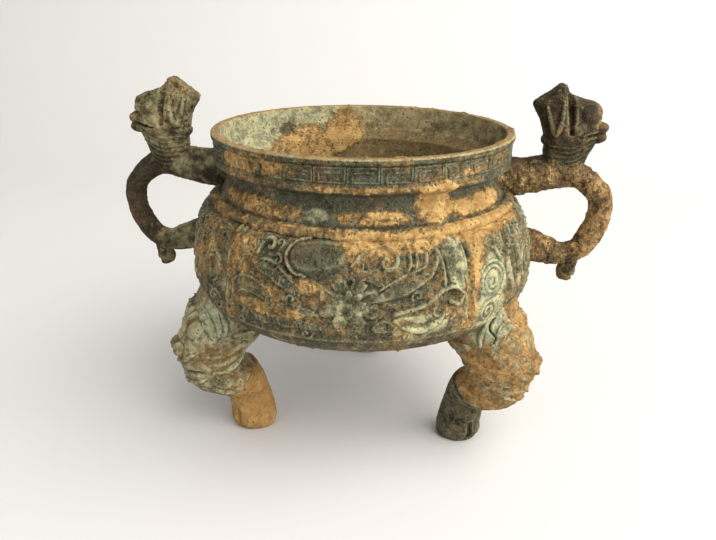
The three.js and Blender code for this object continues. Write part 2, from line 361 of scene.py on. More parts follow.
def blurred(grid: np.ndarray, rounds: int, wrap_rows: bool = False) -> np.ndarray:
    """A grid softened over its neighbours, columns wrapping round.

    Args:
        grid: rows by columns of values.
        rounds: how many times to soften.
        wrap_rows: whether the rows close on themselves too.

    Returns:
        The softened grid.
    """
    soft = grid
    for _ in range(rounds):
        soft = (np.roll(soft, 1, 1) + soft + np.roll(soft, -1, 1)) / 3
        if wrap_rows:
            soft = (np.roll(soft, 1, 0) + soft + np.roll(soft, -1, 0)) / 3
        else:
            edged = np.vstack([soft[:1], soft, soft[-1:]])
            soft = (edged[:-2] + edged[1:-1] + edged[2:]) / 3
    return soft


def belly_arc(wide: tuple[float, float], end: tuple[float, float], power: float, count: int) -> np.ndarray:
    """Points from the belly's widest place to one end of it.

    Args:
        wide: radius and height of the widest place.
        end: radius and height of the end.
        power: exponent of the superellipse.
        count: number of points.

    Returns:
        Radius and height pairs.
    """
    fine_steps = 400
    angle = np.linspace(0, math.pi / 2, fine_steps)
    across = np.cos(angle).clip(0) ** (2 / power)
    along = np.sin(angle) ** (2 / power)
    radius = end[0] + (wide[0] - end[0]) * across
    height = wide[1] + (end[1] - wide[1]) * along
    length = np.concatenate([[0], np.cumsum(np.hypot(np.diff(radius), np.diff(height)))])
    even = np.linspace(0, length[-1], count)
    return np.stack([np.interp(even, length, radius), np.interp(even, length, height)], -1)


def filled(corners: list[tuple[float, float]], step: float) -> np.ndarray:
    """Points along straight edges, no further apart than a step.

    Args:
        corners: radius and height of each corner.
        step: greatest spacing.

    Returns:
        Radius and height pairs.
    """
    rows = []
    for a, b in zip(corners, corners[1:]):
        count = max(1, math.ceil(math.dist(a, b) / step))
        rows.extend(np.linspace(a, b, count, endpoint=False))
    rows.append(np.asarray(corners[-1]))
    return np.asarray(rows)


def stacked(levels: list[tuple[float, ...]], rows: int, columns: int, taper: float = 0.0) -> np.ndarray:
    """Points of an upright form with boxy level sections.

    Args:
        levels: height, inner reach, outer reach and half width of each level.
        rows: sections from bottom to top.
        columns: points round a section.
        taper: share of its width that a section loses toward its outer end.

    Returns:
        Rows by columns of places.
    """
    table = sampled(levels, rows)
    angle = np.linspace(0, math.tau, columns, endpoint=False)
    cos = np.sign(np.cos(angle)) * np.abs(np.cos(angle)) ** BOXY_POWER
    sin = np.sign(np.sin(angle)) * np.abs(np.sin(angle)) ** BOXY_POWER
    z, inner, outer, half = (table[:, i : i + 1] for i in range(4))
    x = (inner + outer) / 2 + (outer - inner) / 2 * cos
    y = half * sin * (1 - taper * (1 + cos) / 2)
    return np.stack([x, y, np.repeat(z, columns, 1)], -1)


@dataclass
class Shell:
    """A closed grid of points with what is laid on it, in the vessel's own millimetres."""

    points: np.ndarray
    relief: np.ndarray
    soil: np.ndarray
    green: np.ndarray
    ring: bool = False
    wear: np.ndarray | float = 0.0
    film: np.ndarray | float = 0.1
    floor_ease: float = 1.5

    def faces(self) -> list[tuple[int, ...]]:
        """Quads between rows, and a flat face at each end of an open grid.

        Returns:
            The point numbers of each face.
        """
        rows, columns = self.relief.shape
        here = np.arange(columns)
        then = (here + 1) % columns
        faces = []
        for i in range(rows if self.ring else rows - 1):
            a, b = i * columns, ((i + 1) % rows) * columns
            faces.extend(np.stack([a + here, a + then, b + then, b + here], -1).tolist())
        if not self.ring:
            last = (rows - 1) * columns
            faces.append(here[::-1].tolist())
            faces.append((last + here).tolist())
        return faces

    def fields(self) -> dict[str, np.ndarray]:
        """What the trees and materials read at each point.

        Returns:
            A grid of values under the name of each attribute.
        """
        near_rounds, far_rounds = 2, 6
        edge_rise, crest_rise, hollow_drop = 0.30, 0.05, 0.22
        near = blurred(self.relief, near_rounds, self.ring)
        far = blurred(self.relief, far_rounds, self.ring)
        edge = ramp(self.relief, far, edge_rise)
        edge = edge * np.clip((self.relief - near) / crest_rise + 0.5, 0, 1)
        return {
            "relief": self.relief,
            "soil": self.soil,
            "green": self.green,
            "give": ramp(self.points[..., 2], 0, self.floor_ease),
            "ridge": np.maximum(edge, self.wear),
            "hollow": ramp(far, self.relief, hollow_drop),
            "film": self.film + np.zeros_like(self.relief),
        }

    def mesh(self, name: str, turn: float = 0.0) -> bpy.types.Mesh:
        """The grid as a mesh in the part's frame, turned about the axis.

        Args:
            name: name of the mesh.
            turn: degrees to turn it.

        Returns:
            The mesh, with its relief and weathering as attributes.
        """
        cos, sin = math.cos(math.radians(turn)), math.sin(math.radians(turn))
        spin = np.array([[cos, -sin, 0], [sin, cos, 0], [0, 0, 1]])
        places = self.points.reshape(-1, 3) @ spin.T
        places[:, 1] += AXIS_Y
        mesh = bpy.data.meshes.new(name)
        mesh.from_pydata((places * MM).tolist(), [], self.faces())
        for label, grid in self.fields().items():
            layer = mesh.attributes.new(label, "FLOAT", "POINT")
            layer.data.foreach_set("value", grid.astype(np.float32).ravel())
        return mesh


class Net:
    """A node tree with short ways to add to it."""

    def __init__(self, tree: bpy.types.NodeTree) -> None:
        """Keeps the tree that nodes are added to."""
        self.tree = tree

    def sockets(self, way: str, kind: str, *names: str) -> None:
        """Declares inputs or outputs of one kind on the tree."""
        for name in names:
            self.tree.interface.new_socket(name, in_out=way, socket_type="NodeSocket" + kind)

    def add(self, kind: str, inputs: dict | None = None, **settings: object) -> bpy.types.Node:
        """Adds a node, sets it and links or fills its inputs.

        Args:
            kind: the node's type.
            inputs: input name or index to a value or to an output socket.
            settings: plain properties of the node.

        Returns:
            The new node.
        """
        node = self.tree.nodes.new(kind)
        for key, value in settings.items():
            setattr(node, key, value)
        self.feed(node, inputs or {})
        return node

    def feed(self, node: bpy.types.Node, inputs: dict) -> None:
        """Links sockets into a node's inputs, or fills them with values.

        Args:
            node: the node to feed.
            inputs: input name or index to a value or to an output socket.
        """
        for key, value in inputs.items():
            if isinstance(value, bpy.types.NodeSocket):
                self.tree.links.new(value, node.inputs[key])
            else:
                node.inputs[key].default_value = value

    def store(self, geometry: object, name: str, value: object) -> bpy.types.NodeSocket:
        """Geometry with one more named value on its points."""
        inputs = {"Geometry": geometry, "Name": name, "Value": value}
        return self.add("GeometryNodeStoreNamedAttribute", inputs).outputs[0]

    def math(self, operation: str, a: object, b: object = 0.0) -> bpy.types.NodeSocket:
        """One arithmetic step."""
        return self.add("ShaderNodeMath", {0: a, 1: b}, operation=operation).outputs[0]

    def times(self, a: object, b: object) -> bpy.types.NodeSocket:
        """One value times another."""
        return self.math("MULTIPLY", a, b)

    def plus(self, base: object, part: object, share: object) -> bpy.types.NodeSocket:
        """The base with a share of another value added."""
        return self.math("ADD", base, self.times(part, share))

    def centred(self, value: object) -> bpy.types.NodeSocket:
        """A noise value moved to lie around zero."""
        return self.math("SUBTRACT", value, 0.5)

    def noise(self, vector: object, scale: float, detail: float, seed: object) -> bpy.types.NodeSocket:
        """A noise value around one half, its scale counted per metre."""
        inputs = {"Vector": vector, "W": seed, "Scale": scale, "Detail": detail, "Roughness": 0.6}
        return self.add("ShaderNodeTexNoise", inputs, noise_dimensions="4D").outputs[0]

    def step(self, value: object, low: float, high: float) -> bpy.types.NodeSocket:
        """A smooth step from zero at low to one at high."""
        inputs = {"Value": value, "From Min": low, "From Max": high}
        return self.add("ShaderNodeMapRange", inputs, interpolation_type="SMOOTHSTEP").outputs[0]

    def mix(self, share: object, a: object, b: object) -> bpy.types.NodeSocket:
        """A colour between two, by share."""
        inputs = {0: share, 6: a, 7: b}
        return self.add("ShaderNodeMix", inputs, data_type="RGBA", clamp_factor=True).outputs[2]

    def tint(
        self, base: object, colour: object, value: object, span: tuple[float, float], most: float
    ) -> bpy.types.NodeSocket:
        """A colour that takes on some of another where a value is high.

        Args:
            base: the colour to tint.
            colour: the colour it takes on.
            value: what decides where.
            span: values at which the tint starts and is full.
            most: share of the second colour at the full tint.

        Returns:
            The tinted colour.
        """
        return self.mix(self.times(self.step(value, *span), most), base, colour)

    def dress(self, geometry: object, material: object) -> None:
        """Makes the geometry real, gives it its material and puts it out.

        Args:
            geometry: the finished geometry.
            material: the material to set on it.
        """
        real = self.add("GeometryNodeRealizeInstances", {"Geometry": geometry}).outputs[0]
        dressed = self.add("GeometryNodeSetMaterial", {"Geometry": real, "Material": material}).outputs[0]
        self.add("NodeGroupOutput", {"Geometry": dressed})


def soil_lean(net: Net, place: object, seed: object, lean: object) -> bpy.types.NodeSocket:
    """How far a place leans toward soil, once broad and crumbly noise break it up.

    Args:
        net: the tree to add to.
        place: position in the part's frame.
        seed: noise seed.
        lean: how much the place leans toward soil, a half being as likely as not.

    Returns:
        The broken lean, with a full crust from about six tenths up.
    """
    broad_scale, crumb_scale = 95.0, 420.0
    broad_share, crumb_share = 1.2, 1.4
    broad = net.centred(net.noise(place, broad_scale, 4.0, seed))
    crumb = net.centred(net.noise(place, crumb_scale, 4.0, seed))
    return net.plus(net.plus(lean, broad, broad_share), crumb, crumb_share)


def cast_tree() -> bpy.types.GeometryNodeTree:
    """The tree that raises relief and crusts a shell with soil.

    Returns:
        A geometry tree with named inputs for depths, seed and material.
    """
    lump_scale, wear_scale, pit_scale, swell_scale = 330.0, 170.0, 800.0, 150.0
    hollow_lean, ridge_lean = 0.14, -0.16
    crust_foot, crust_lumps = -0.45, 2.0
    wear_span, least_relief, unworn_relief = (0.34, 0.58), 0.55, 0.55
    tree = bpy.data.node_groups.new("cast_and_buried", "GeometryNodeTree")
    net = Net(tree)
    net.sockets("INPUT", "Geometry", "Geometry")
    net.sockets("INPUT", "Float", "Relief Depth", "Crust Depth", "Pit Depth", "Lump Depth", "Seed")
    net.sockets("INPUT", "Material", "Material")
    net.sockets("OUTPUT", "Geometry", "Geometry")
    given = net.add("NodeGroupInput").outputs
    seed = given["Seed"]
    place = net.add("GeometryNodeInputPosition").outputs[0]
    read = {
        label: net.add("GeometryNodeInputNamedAttribute", {"Name": label}).outputs[0]
        for label in ("relief", "soil", "hollow", "ridge", "give")
    }

    # Soil gathers in hollows, falls off ridges and stands as a lumpy crust.
    lean = net.plus(net.plus(read["soil"], read["hollow"], hollow_lean), read["ridge"], ridge_lean)
    lean = soil_lean(net, place, seed, lean)
    lumps = net.noise(place, lump_scale, 4.0, seed)
    crust = net.times(net.step(lean, *CRUST_STEP), net.plus(crust_foot, lumps, crust_lumps))
    lift = net.times(crust, given["Crust Depth"])

    # The relief is worn in places, and the whole skin is pitted and uneven.
    unworn = net.step(net.noise(place, wear_scale, 3.0, seed), *wear_span)
    kept_relief = net.times(read["relief"], net.plus(least_relief, unworn, unworn_relief))
    lift = net.plus(lift, kept_relief, given["Relief Depth"])
    pits = net.centred(net.noise(place, pit_scale, 3.0, seed))
    lift = net.plus(lift, pits, given["Pit Depth"])
    swell = net.centred(net.noise(place, swell_scale, 3.0, seed))
    lift = net.plus(lift, swell, given["Lump Depth"])
    lift = net.times(net.times(lift, read["give"]), MM)
    normal = net.add("GeometryNodeInputNormal").outputs[0]
    offset = net.add("ShaderNodeVectorMath", {0: normal, "Scale": lift}, operation="SCALE").outputs[0]
    soiled = net.store(given["Geometry"], "soil_lean", lean)
    moved = net.add("GeometryNodeSetPosition", {"Geometry": soiled, "Offset": offset}).outputs[0]
    smooth = net.add("GeometryNodeSetShadeSmooth", {"Geometry": moved}).outputs[0]
    net.dress(smooth, given["Material"])
    return tree


def fret_tree() -> bpy.types.GeometryNodeTree:
    """The tree that repeats one fret unit along a strip and bends the strip round the lip.

    Returns:
        A geometry tree with named inputs for count, radius, bar size and material.
    """
    wear_scale = 140.0
    soil, ridge, green = 0.22, 0.34, 0.14
    tree = bpy.data.node_groups.new("fret_round_lip", "GeometryNodeTree")
    net = Net(tree)
    net.sockets("INPUT", "Geometry", "Geometry")
    net.sockets("INPUT", "Int", "Count")
    net.sockets("INPUT", "Float", "Radius", "Bar Width", "Bar Height", "Wear", "Seed", "Axis Y")
    net.sockets("INPUT", "Material", "Material")
    net.sockets("OUTPUT", "Geometry", "Geometry")
    given = net.add("NodeGroupInput").outputs

    # One unit's line is swept to a bar and repeated along a straight strip.
    line = net.add("GeometryNodeMeshToCurve", {0: given["Geometry"]}).outputs[0]
    size = {"Width": given["Bar Height"], "Height": given["Bar Width"]}
    section = net.add("GeometryNodeCurvePrimitiveQuadrilateral", size).outputs[0]
    sweep = {"Curve": line, "Profile Curve": section, "Fill Caps": True}
    bars = net.add("GeometryNodeCurveToMesh", sweep).outputs[0]
    fine = net.add("GeometryNodeSubdivideMesh", {"Mesh": bars, "Level": 1}).outputs[0]
    around = net.times(given["Radius"], math.tau)
    pitch = net.math("DIVIDE", around, given["Count"])
    spacing = net.add("ShaderNodeCombineXYZ", {"X": pitch}).outputs[0]
    strip = net.add("GeometryNodeMeshLine", {"Count": given["Count"], "Offset": spacing}).outputs[0]
    laid = net.add("GeometryNodeInstanceOnPoints", {"Points": strip, "Instance": fine}).outputs[0]
    real = net.add("GeometryNodeRealizeInstances", {"Geometry": laid}).outputs[0]

    # The strip is bent round the axis and sinks into the band where it is worn.
    place = net.add("GeometryNodeInputPosition").outputs[0]
    parts = net.add("ShaderNodeSeparateXYZ", {0: place}).outputs
    angle = net.math("DIVIDE", parts["X"], given["Radius"])
    worn = net.centred(net.noise(place, wear_scale, 3.0, given["Seed"]))
    reach = net.plus(net.math("SUBTRACT", given["Radius"], parts["Y"]), worn, given["Wear"])
    across = net.times(reach, net.math("SINE", angle))
    depth = net.math("SUBTRACT", given["Axis Y"], net.times(reach, net.math("COSINE", angle)))
    bent = net.add("ShaderNodeCombineXYZ", {"X": across, "Y": depth, "Z": parts["Z"]}).outputs[0]
    moved = net.add("GeometryNodeSetPosition", {"Geometry": real, "Position": bent}).outputs[0]
    soiled = net.store(moved, "soil_lean", soil_lean(net, place, given["Seed"], soil))
    edged = net.store(net.store(soiled, "ridge", ridge), "green", green)
    net.dress(edged, given["Material"])
    return tree


def patina_group() -> bpy.types.ShaderNodeTree:
    """The shared weathering: bronze, verdigris, worn edges and earth, and painted shade that darkens the
    crevices.

    Returns:
        A shader group that puts out colour, roughness, metal share and bump height.
    """
    broad_scale, medium_scale, fine_scale, grit_scale, pit_scale = 70.0, 250.0, 900.0, 2300.0, 560.0
    metal_roughness, soil_roughness, metal_share = 0.62, 0.30, 0.12
    tree = bpy.data.node_groups.new("buried_bronze", "ShaderNodeTree")
    net = Net(tree)
    net.sockets("INPUT", "Vector", "Vector")
    net.sockets("INPUT", "Float", "Soil", "Green", "Ridge", "Hollow Shade", "Film")
    net.sockets("INPUT", "Color", "Dark", "Light", "Verdigris", "Pale")
    net.sockets("INPUT", "Color", "Earth Light", "Earth Dark", "Russet")
    net.sockets("OUTPUT", "Color", "Color")
    net.sockets("OUTPUT", "Float", "Roughness", "Metallic", "Height")
    given = net.add("NodeGroupInput").outputs
    vector, dark, pale = given["Vector"], given["Dark"], given["Pale"]
    earth_dark, earth_light = given["Earth Dark"], given["Earth Light"]

    # Noise from broad tones down to grit, and the small pits of old corrosion.
    broad = net.noise(vector, broad_scale, 4.0, 1.3)
    medium = net.noise(vector, medium_scale, 5.0, 4.1)
    fine = net.noise(vector, fine_scale, 4.0, 7.7)
    grit = net.noise(vector, grit_scale, 2.0, 2.9)
    spot = net.add("ShaderNodeTexVoronoi", {"Vector": vector, "Scale": pit_scale}).outputs["Distance"]
    pits = net.times(net.step(spot, 0.34, 0.14), net.step(medium, 0.47, 0.58))
    blotch = net.plus(net.times(medium, 0.6), fine, 0.4)

    # Bare metal: mottled bronze, russet in broad tones, and verdigris over both.
    bronze = net.mix(net.step(blotch, 0.38, 0.62), dark, given["Light"])
    bronze = net.tint(bronze, given["Russet"], broad, (0.53, 0.68), 0.5)
    greening = net.plus(given["Green"], net.centred(broad), 1.4)
    greening = net.plus(greening, net.centred(medium), 1.2)
    verdigris = net.mix(net.step(blotch, 0.40, 0.60), given["Verdigris"], pale)
    metal = net.tint(bronze, verdigris, greening, (0.30, 0.80), 0.9)

    # Over the metal: a film of dust, rubbed ridges, pale grit, and painted shade that darkens the hollows.
    filmed = net.times(given["Film"], net.step(net.math("ADD", fine, broad), 0.45, 1.15))
    metal = net.mix(filmed, metal, net.mix(0.42, earth_dark, earth_light))
    rubbed = net.step(net.plus(blotch, grit, 0.4), 0.52, 0.80)
    metal = net.mix(net.times(net.times(given["Ridge"], rubbed), 0.52), metal, pale)
    metal = net.tint(metal, pale, grit, (0.56, 0.70), 0.30)
    # Painted shade: the metal goes toward dark bronze in the hollows beside the relief, where shade falls.
    metal = net.tint(metal, dark, given["Hollow Shade"], (0.20, 0.90), 0.65)

    # Soil: a ragged edge with dust before it, and earth that is darker in broad tones and in its grain.
    ragged = net.plus(given["Soil"], net.centred(fine), 0.65)
    ragged = net.plus(ragged, net.centred(grit), 0.40)
    dust = net.mix(net.step(blotch, 0.36, 0.66), earth_dark, earth_light)
    metal = net.tint(metal, dust, ragged, (0.20, 0.58), 0.45)
    earth = net.mix(net.step(blotch, 0.34, 0.64), earth_dark, earth_light)
    earth = net.tint(earth, earth_dark, broad, (0.58, 0.42), 0.45)
    earth = net.tint(earth, earth_dark, grit, (0.54, 0.40), 0.40)
    cover = net.step(ragged, 0.36, 0.76)
    bare = net.math("SUBTRACT", 1.0, cover)
    colour = net.mix(cover, metal, earth)
    # Where the soil thins at its rim the colour goes toward dark bronze: partly dark crumbs, partly painted
    # shade under the crust's edge.
    colour = net.mix(net.times(net.times(cover, bare), 1.2), colour, dark)
    colour = net.mix(net.times(pits, 0.60), colour, dark)

    # Soil is rough and dull, metal a little less so, and both are grainy.
    rough = net.plus(metal_roughness, cover, soil_roughness)
    share = net.times(bare, metal_share)
    height = net.plus(net.times(fine, 0.60), grit, 0.35)
    height = net.plus(net.plus(height, medium, 0.70), cover, 0.35)
    height = net.plus(height, pits, -0.5)
    net.add("NodeGroupOutput", {"Color": colour, "Roughness": rough, "Metallic": share, "Height": height})
    return tree


def patina_material(patina: Patina, group: bpy.types.ShaderNodeTree) -> bpy.types.Material:
    """A weathered bronze that reads the piece's own attributes.

    Args:
        patina: colours of the finish.
        group: the shared weathering group.

    Returns:
        The material.
    """
    grain_strength, grain_depth, gloss = 0.85, 0.0010, 0.15
    material = bpy.data.materials.new(patina.name)
    material.use_nodes = True
    material.node_tree.nodes.clear()
    net = Net(material.node_tree)
    inputs = {"Vector": net.add("ShaderNodeTexCoord").outputs["Object"]}
    labels = {"Soil": "soil_lean", "Green": "green", "Ridge": "ridge", "Hollow Shade": "hollow", "Film": "film"}
    for socket, label in labels.items():
        inputs[socket] = net.add("ShaderNodeAttribute", attribute_name=label).outputs["Fac"]
    colours = {
        "Dark": patina.dark,
        "Light": patina.light,
        "Verdigris": patina.green,
        "Pale": patina.pale,
        "Earth Light": patina.earth_light,
        "Earth Dark": patina.earth_dark,
        "Russet": patina.russet,
    }
    for socket, colour in colours.items():
        inputs[socket] = (*colour, 1.0)
    weather = net.add("ShaderNodeGroup", inputs, node_tree=group).outputs
    grain = {"Height": weather["Height"], "Strength": grain_strength, "Distance": grain_depth}
    surface = {
        "Base Color": weather["Color"],
        "Roughness": weather["Roughness"],
        "Metallic": weather["Metallic"],
        "Specular IOR Level": gloss,
        "Normal": net.add("ShaderNodeBump", grain).outputs[0],
    }
    shader = net.add("ShaderNodeBsdfPrincipled", surface)
    net.add("ShaderNodeOutputMaterial", {"Surface": shader.outputs[0]})
    return material


@dataclass
class Foundry:
    """Shared trees and the steps that turn a shell into a finished piece."""

    cast: bpy.types.GeometryNodeTree
    fret: bpy.types.GeometryNodeTree

    def run(
        self, mesh: bpy.types.Mesh, tree: bpy.types.GeometryNodeTree, values: dict[str, object]
    ) -> bpy.types.Mesh:
        """Passes a mesh through a geometry tree.

        Args:
            mesh: the mesh to work on.
            tree: the tree.
            values: input names and values.

        Returns:
            The result as a plain mesh.
        """
        worker = bpy.data.objects.new(mesh.name + "_raw", mesh)
        bpy.context.scene.collection.objects.link(worker)
        modifier = worker.modifiers.new("shape", "NODES")
        modifier.node_group = tree
        for item in tree.interface.items_tree:
            if item.in_out == "INPUT" and item.name in values:
                modifier[item.identifier] = values[item.name]
        graph = bpy.context.evaluated_depsgraph_get()
        made = bpy.data.meshes.new_from_object(worker.evaluated_get(graph), depsgraph=graph)
        worker.modifiers.clear()
        bpy.data.objects.remove(worker)
        return made

    def finish(self, name: str, parts: list[bpy.types.Mesh]) -> bpy.types.Object:
        """Joins plain meshes into one piece of the vessel.

        Args:
            name: name of the piece.
            parts: meshes already in the part's frame.

        Returns:
            The piece, riding on the part.
        """
        objects = []
        for mesh in parts:
            item = bpy.data.objects.new(name, mesh)
            bpy.context.scene.collection.objects.link(item)
            objects.append(item)
        if len(objects) > 1:
            with bpy.context.temp_override(active_object=objects[0], selected_editable_objects=objects):
                bpy.ops.object.join()
        piece = objects[0]
        piece.name = name
        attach(piece, "root")
        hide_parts("vessel")
        return piece


def veins(leaf: Stroke) -> list[Stroke]:
    """Fine ribs that spread from a leaf's spine toward its edge.

    Args:
        leaf: the leaf they lie on.

    Returns:
        The ribs, a little higher than the leaf.
    """
    gap, forward, rib = 1.5, 0.8, 0.30
    reach_share, height_share = 0.72, 0.75
    knots = np.asarray(leaf.points)
    count = max(3, round(np.hypot(*np.diff(knots, axis=0).T).sum() / gap))
    spine = sampled(list(leaf.points), count)
    along = np.gradient(spine, axis=0)
    along /= np.linalg.norm(along, axis=1, keepdims=True)
    widths = np.interp(np.linspace(0, 1, count), np.linspace(0, 1, len(leaf.half)), leaf.half)
    ribs = []
    for place, course, width in zip(spine, along, widths):
        for side in (-1, 1):
            reach = course * forward + np.array([-course[1], course[0]]) * side
            tip = place + reach * width * reach_share
            ribs.append(Stroke((tuple(place), tuple(tip)), (rib, rib), leaf.height * height_share))
    return ribs


def with_veins(strokes: list[Stroke]) -> list[Stroke]:
    """The strokes, with veins on every broad leaf among them.

    Args:
        strokes: the strokes of one panel.

    Returns:
        The same strokes and their veins.
    """
    broad_half = 1.7
    leaves = [stroke for stroke in strokes if stroke.profile is Profile.LEAF]
    broad = [leaf for leaf in leaves if max(leaf.half) > broad_half]
    return strokes + [rib for leaf in broad for rib in veins(leaf)]


def tendrils(places: tuple[tuple[float, float, float, float, int], ...]) -> list[Stroke]:
    """Small curls that fill the ground between the larger forms.

    Args:
        places: centre across and down, reach, start angle and hand of each.

    Returns:
        The curls.
    """
    half, height = (0.3, 0.45, 0.35), 0.6
    curls = []
    for u, v, reach, start, hand in places:
        curls.append(Stroke(spiral(u, v, reach, 1.0, start, hand), half, height))
    return curls


def front_panel() -> list[Stroke]:
    """Lotus flower, leaves and scrolls of the front, on a map of millimetres across and down.

    Returns:
        The strokes.
    """
    leaf, flat = Profile.LEAF, Profile.FLAT
    oval_edge = ((-13, 0.8), (-18.4, 3.4), (-20.4, 8.0), (-17.6, 12.4), (-13, 13.6))
    left_leaf = ((-42, 27), (-40.5, 22), (-36, 19.4), (-29.5, 20.2), (-24, 24))
    right_stem = ((16, 25), (26, 22.6), (31.6, 19.0), (36.6, 18.0), (40, 20.8), (38.6, 24.2), (35.6, 22.8))
    strokes = flower(1.5, 21.5, 9.0)
    strokes += [
        Stroke(((-14.4, 7.2), (-10, 6.8), (-4, 6.0)), (6.0, 6.6, 5.4), 0.75, flat),
        Stroke(oval_edge, (0.4, 0.6, 0.6, 0.5), 1.25),
        Stroke(((-33, 11.5), (-26, 12.6), (-20, 16.0), (-15, 19.6)), (1.6, 3.0, 2.6, 0.7), 1.1, leaf),
        Stroke(left_leaf, (1.2, 2.6, 3.2, 2.6, 0.6), 1.2, leaf),
        Stroke(((-37, 30), (-33, 24.5), (-28, 25.6)), (0.6, 1.5, 0.6), 1.0),
        Stroke(((-28, 26.4), (-18, 24.6), (-9, 25.6)), (0.8, 1.8, 0.8), 1.0, leaf),
        Stroke(((-31, 30.5), (-20, 29.2), (-8, 30.2)), (0.8, 2.2, 0.9), 1.0, leaf),
        Stroke(((34.0, 2.2), (37.4, 7.4), (37.8, 13.0), (39.2, 18.0)), (3.2, 5.0, 4.4, 2.0), 0.75, flat),
        Stroke(((33.4, 17.0), (33.0, 11.0), (31.8, 6.0), (29.6, 1.6)), (0.4, 0.6, 0.6, 0.4), 1.2),
        Stroke(((28.5, 13.6), (31.4, 8.0), (31.0, 2.4)), (0.6, 1.0, 0.6), 1.1),
        Stroke(((25.6, 12.0), (27.6, 7.6), (26.8, 3.6)), (0.5, 0.9, 0.5), 1.0),
        Stroke(((11, 19.6), (18, 16.6), (27, 13.6)), (1.4, 3.6, 1.6), 0.7, flat),
        Stroke(((11, 17.0), (18, 13.2), (26, 10.6)), (0.4, 0.6, 0.4), 1.1),
        Stroke(right_stem, (0.9,), 1.2),
        Stroke(((9.4, 29.8), (12.6, 29.0), (15.8, 29.8)), (0.9, 2.3, 0.9), 1.1, leaf),
        Stroke(((18.6, 29.6), (25, 31.6), (31.6, 28.4), (33.2, 24.4)), (0.6, 1.3, 1.1, 0.6), 1.0),
        Stroke(((19.6, 26.6), (25, 27.4), (29.4, 25.6)), (0.5, 1.5, 0.5), 1.0, leaf),
        Stroke(((-1, 14.5), (3, 12.2), (8, 12.6), (12, 15.6)), (0.6, 1.4, 1.6, 0.6), 1.0, leaf),
        Stroke(((2, 9.6), (5, 6.0), (9, 4.6)), (0.6, 1.1, 0.6), 0.9),
        Stroke(spiral(14.0, 8.0, 4.6, 1.25, 200), (0.9, 1.2, 0.7), 1.0),
        Stroke(spiral(-36.5, 7.0, 5.0, 1.25, 20, -1), (0.8, 1.2, 0.7), 0.9),
        Stroke(spiral(-27.6, 5.4, 3.4, 0.9, 160), (0.6, 1.1, 0.6), 0.8),
    ]
    for k in range(2):
        lean = 20.0 + 2.2 * k
        strokes.append(Stroke(((lean, 13.0), (lean + 1.8, 8.0), (lean + 0.6, 3.2)), (0.4, 0.8, 0.4), 0.8))
    strokes += tendrils(
        (
            (-40.0, 14.0, 2.4, 30, 1),
            (-33.5, 16.2, 2.0, 150, -1),
            (-23.6, 9.6, 2.2, 210, 1),
            (-24.0, 4.0, 1.8, 60, -1),
            (-12.0, 17.6, 2.2, 330, 1),
            (-17.6, 21.6, 1.9, 120, 1),
            (-38.6, 33.0, 2.0, 200, -1),
            (-12.6, 33.0, 2.0, 20, 1),
            (4.6, 9.0, 2.4, 180, -1),
            (1.0, 4.6, 2.0, 40, 1),
            (9.6, 12.6, 2.2, 300, -1),
            (23.6, 19.6, 2.0, 140, 1),
            (31.0, 25.6, 2.2, 240, -1),
            (37.6, 29.6, 2.4, 60, 1),
            (20.4, 33.4, 2.0, 310, 1),
            (3.0, 33.4, 1.8, 160, -1),
            (41.0, 9.0, 1.8, 90, 1),
        )
    )
    return with_veins(strokes)


def flower(u: float, v: float, reach: float) -> list[Stroke]:
    """An open lotus seen from above: ribbed petals, an inner round of petals and a domed heart.

    Args:
        u: centre across.
        v: centre down.
        reach: radius of its petals.

    Returns:
        Petal, rib and heart strokes.
    """
    petals, ribs = 8, (-0.24, 0.0, 0.24)
    squash = 0.84

    def ray(angle: float, shares: tuple[float, ...]) -> tuple[tuple[float, float], ...]:
        """Points along one ray of the flower."""
        across, down = reach * math.cos(angle), reach * squash * math.sin(angle)
        return tuple((u + share * across, v + share * down) for share in shares)

    strokes = []
    for k in range(petals):
        angle = math.tau * (k + 0.5) / petals
        strokes.append(Stroke(ray(angle, (0.46, 0.72, 0.90)), (1.8, 3.1, 2.5), 0.7, Profile.FLAT))
        for fan in ribs:
            strokes.append(Stroke(ray(angle + fan, (0.70, 1.02)), (0.5, 0.4), 0.9))
        inner = angle + math.pi / petals
        strokes.append(Stroke(ray(inner, (0.20, 0.36, 0.50)), (1.1, 1.9, 1.3), 1.05, Profile.FLAT))
    strokes.append(Stroke(ray(0.0, (-0.02, 0.02)), (1.6, 1.6), 1.5, Profile.DOME))
    return strokes


def plain_panel() -> list[Stroke]:
    """The quieter lotus and paired scrolls of the sides that face away.

    Returns:
        The strokes.
    """
    strokes = flower(0.0, 22.0, 8.6)
    for side in (-1, 1):
        stem = [(side * 8.0, 24.0), (side * 14, 27.0), (side * 21, 24.0), (side * 24, 17.0)]
        strokes.append(Stroke(tuple(stem), (0.9, 1.1, 1.0, 0.8), 1.1))
        strokes.append(Stroke(spiral(side * 18.0, 15.6, 6.4, 2.0, 90 - side * 90, side), (1.0, 0.8), 1.1))
        leaf = ((side * 6, 9.0), (side * 12, 5.6), (side * 19, 5.4))
        strokes.append(Stroke(leaf, (1.0, 3.0, 0.8), 1.0, Profile.LEAF))
        low = ((side * 22, 29.0), (side * 30, 25.0), (side * 36, 18.0))
        strokes.append(Stroke(low, (0.8, 2.4, 0.8), 1.0, Profile.LEAF))
        wing = ((side * 27, 4.0), (side * 33, 6.0), (side * 37, 12.0))
        strokes.append(Stroke(wing, (1.0, 2.8, 1.0), 1.0, Profile.LEAF))
    return with_veins(strokes)


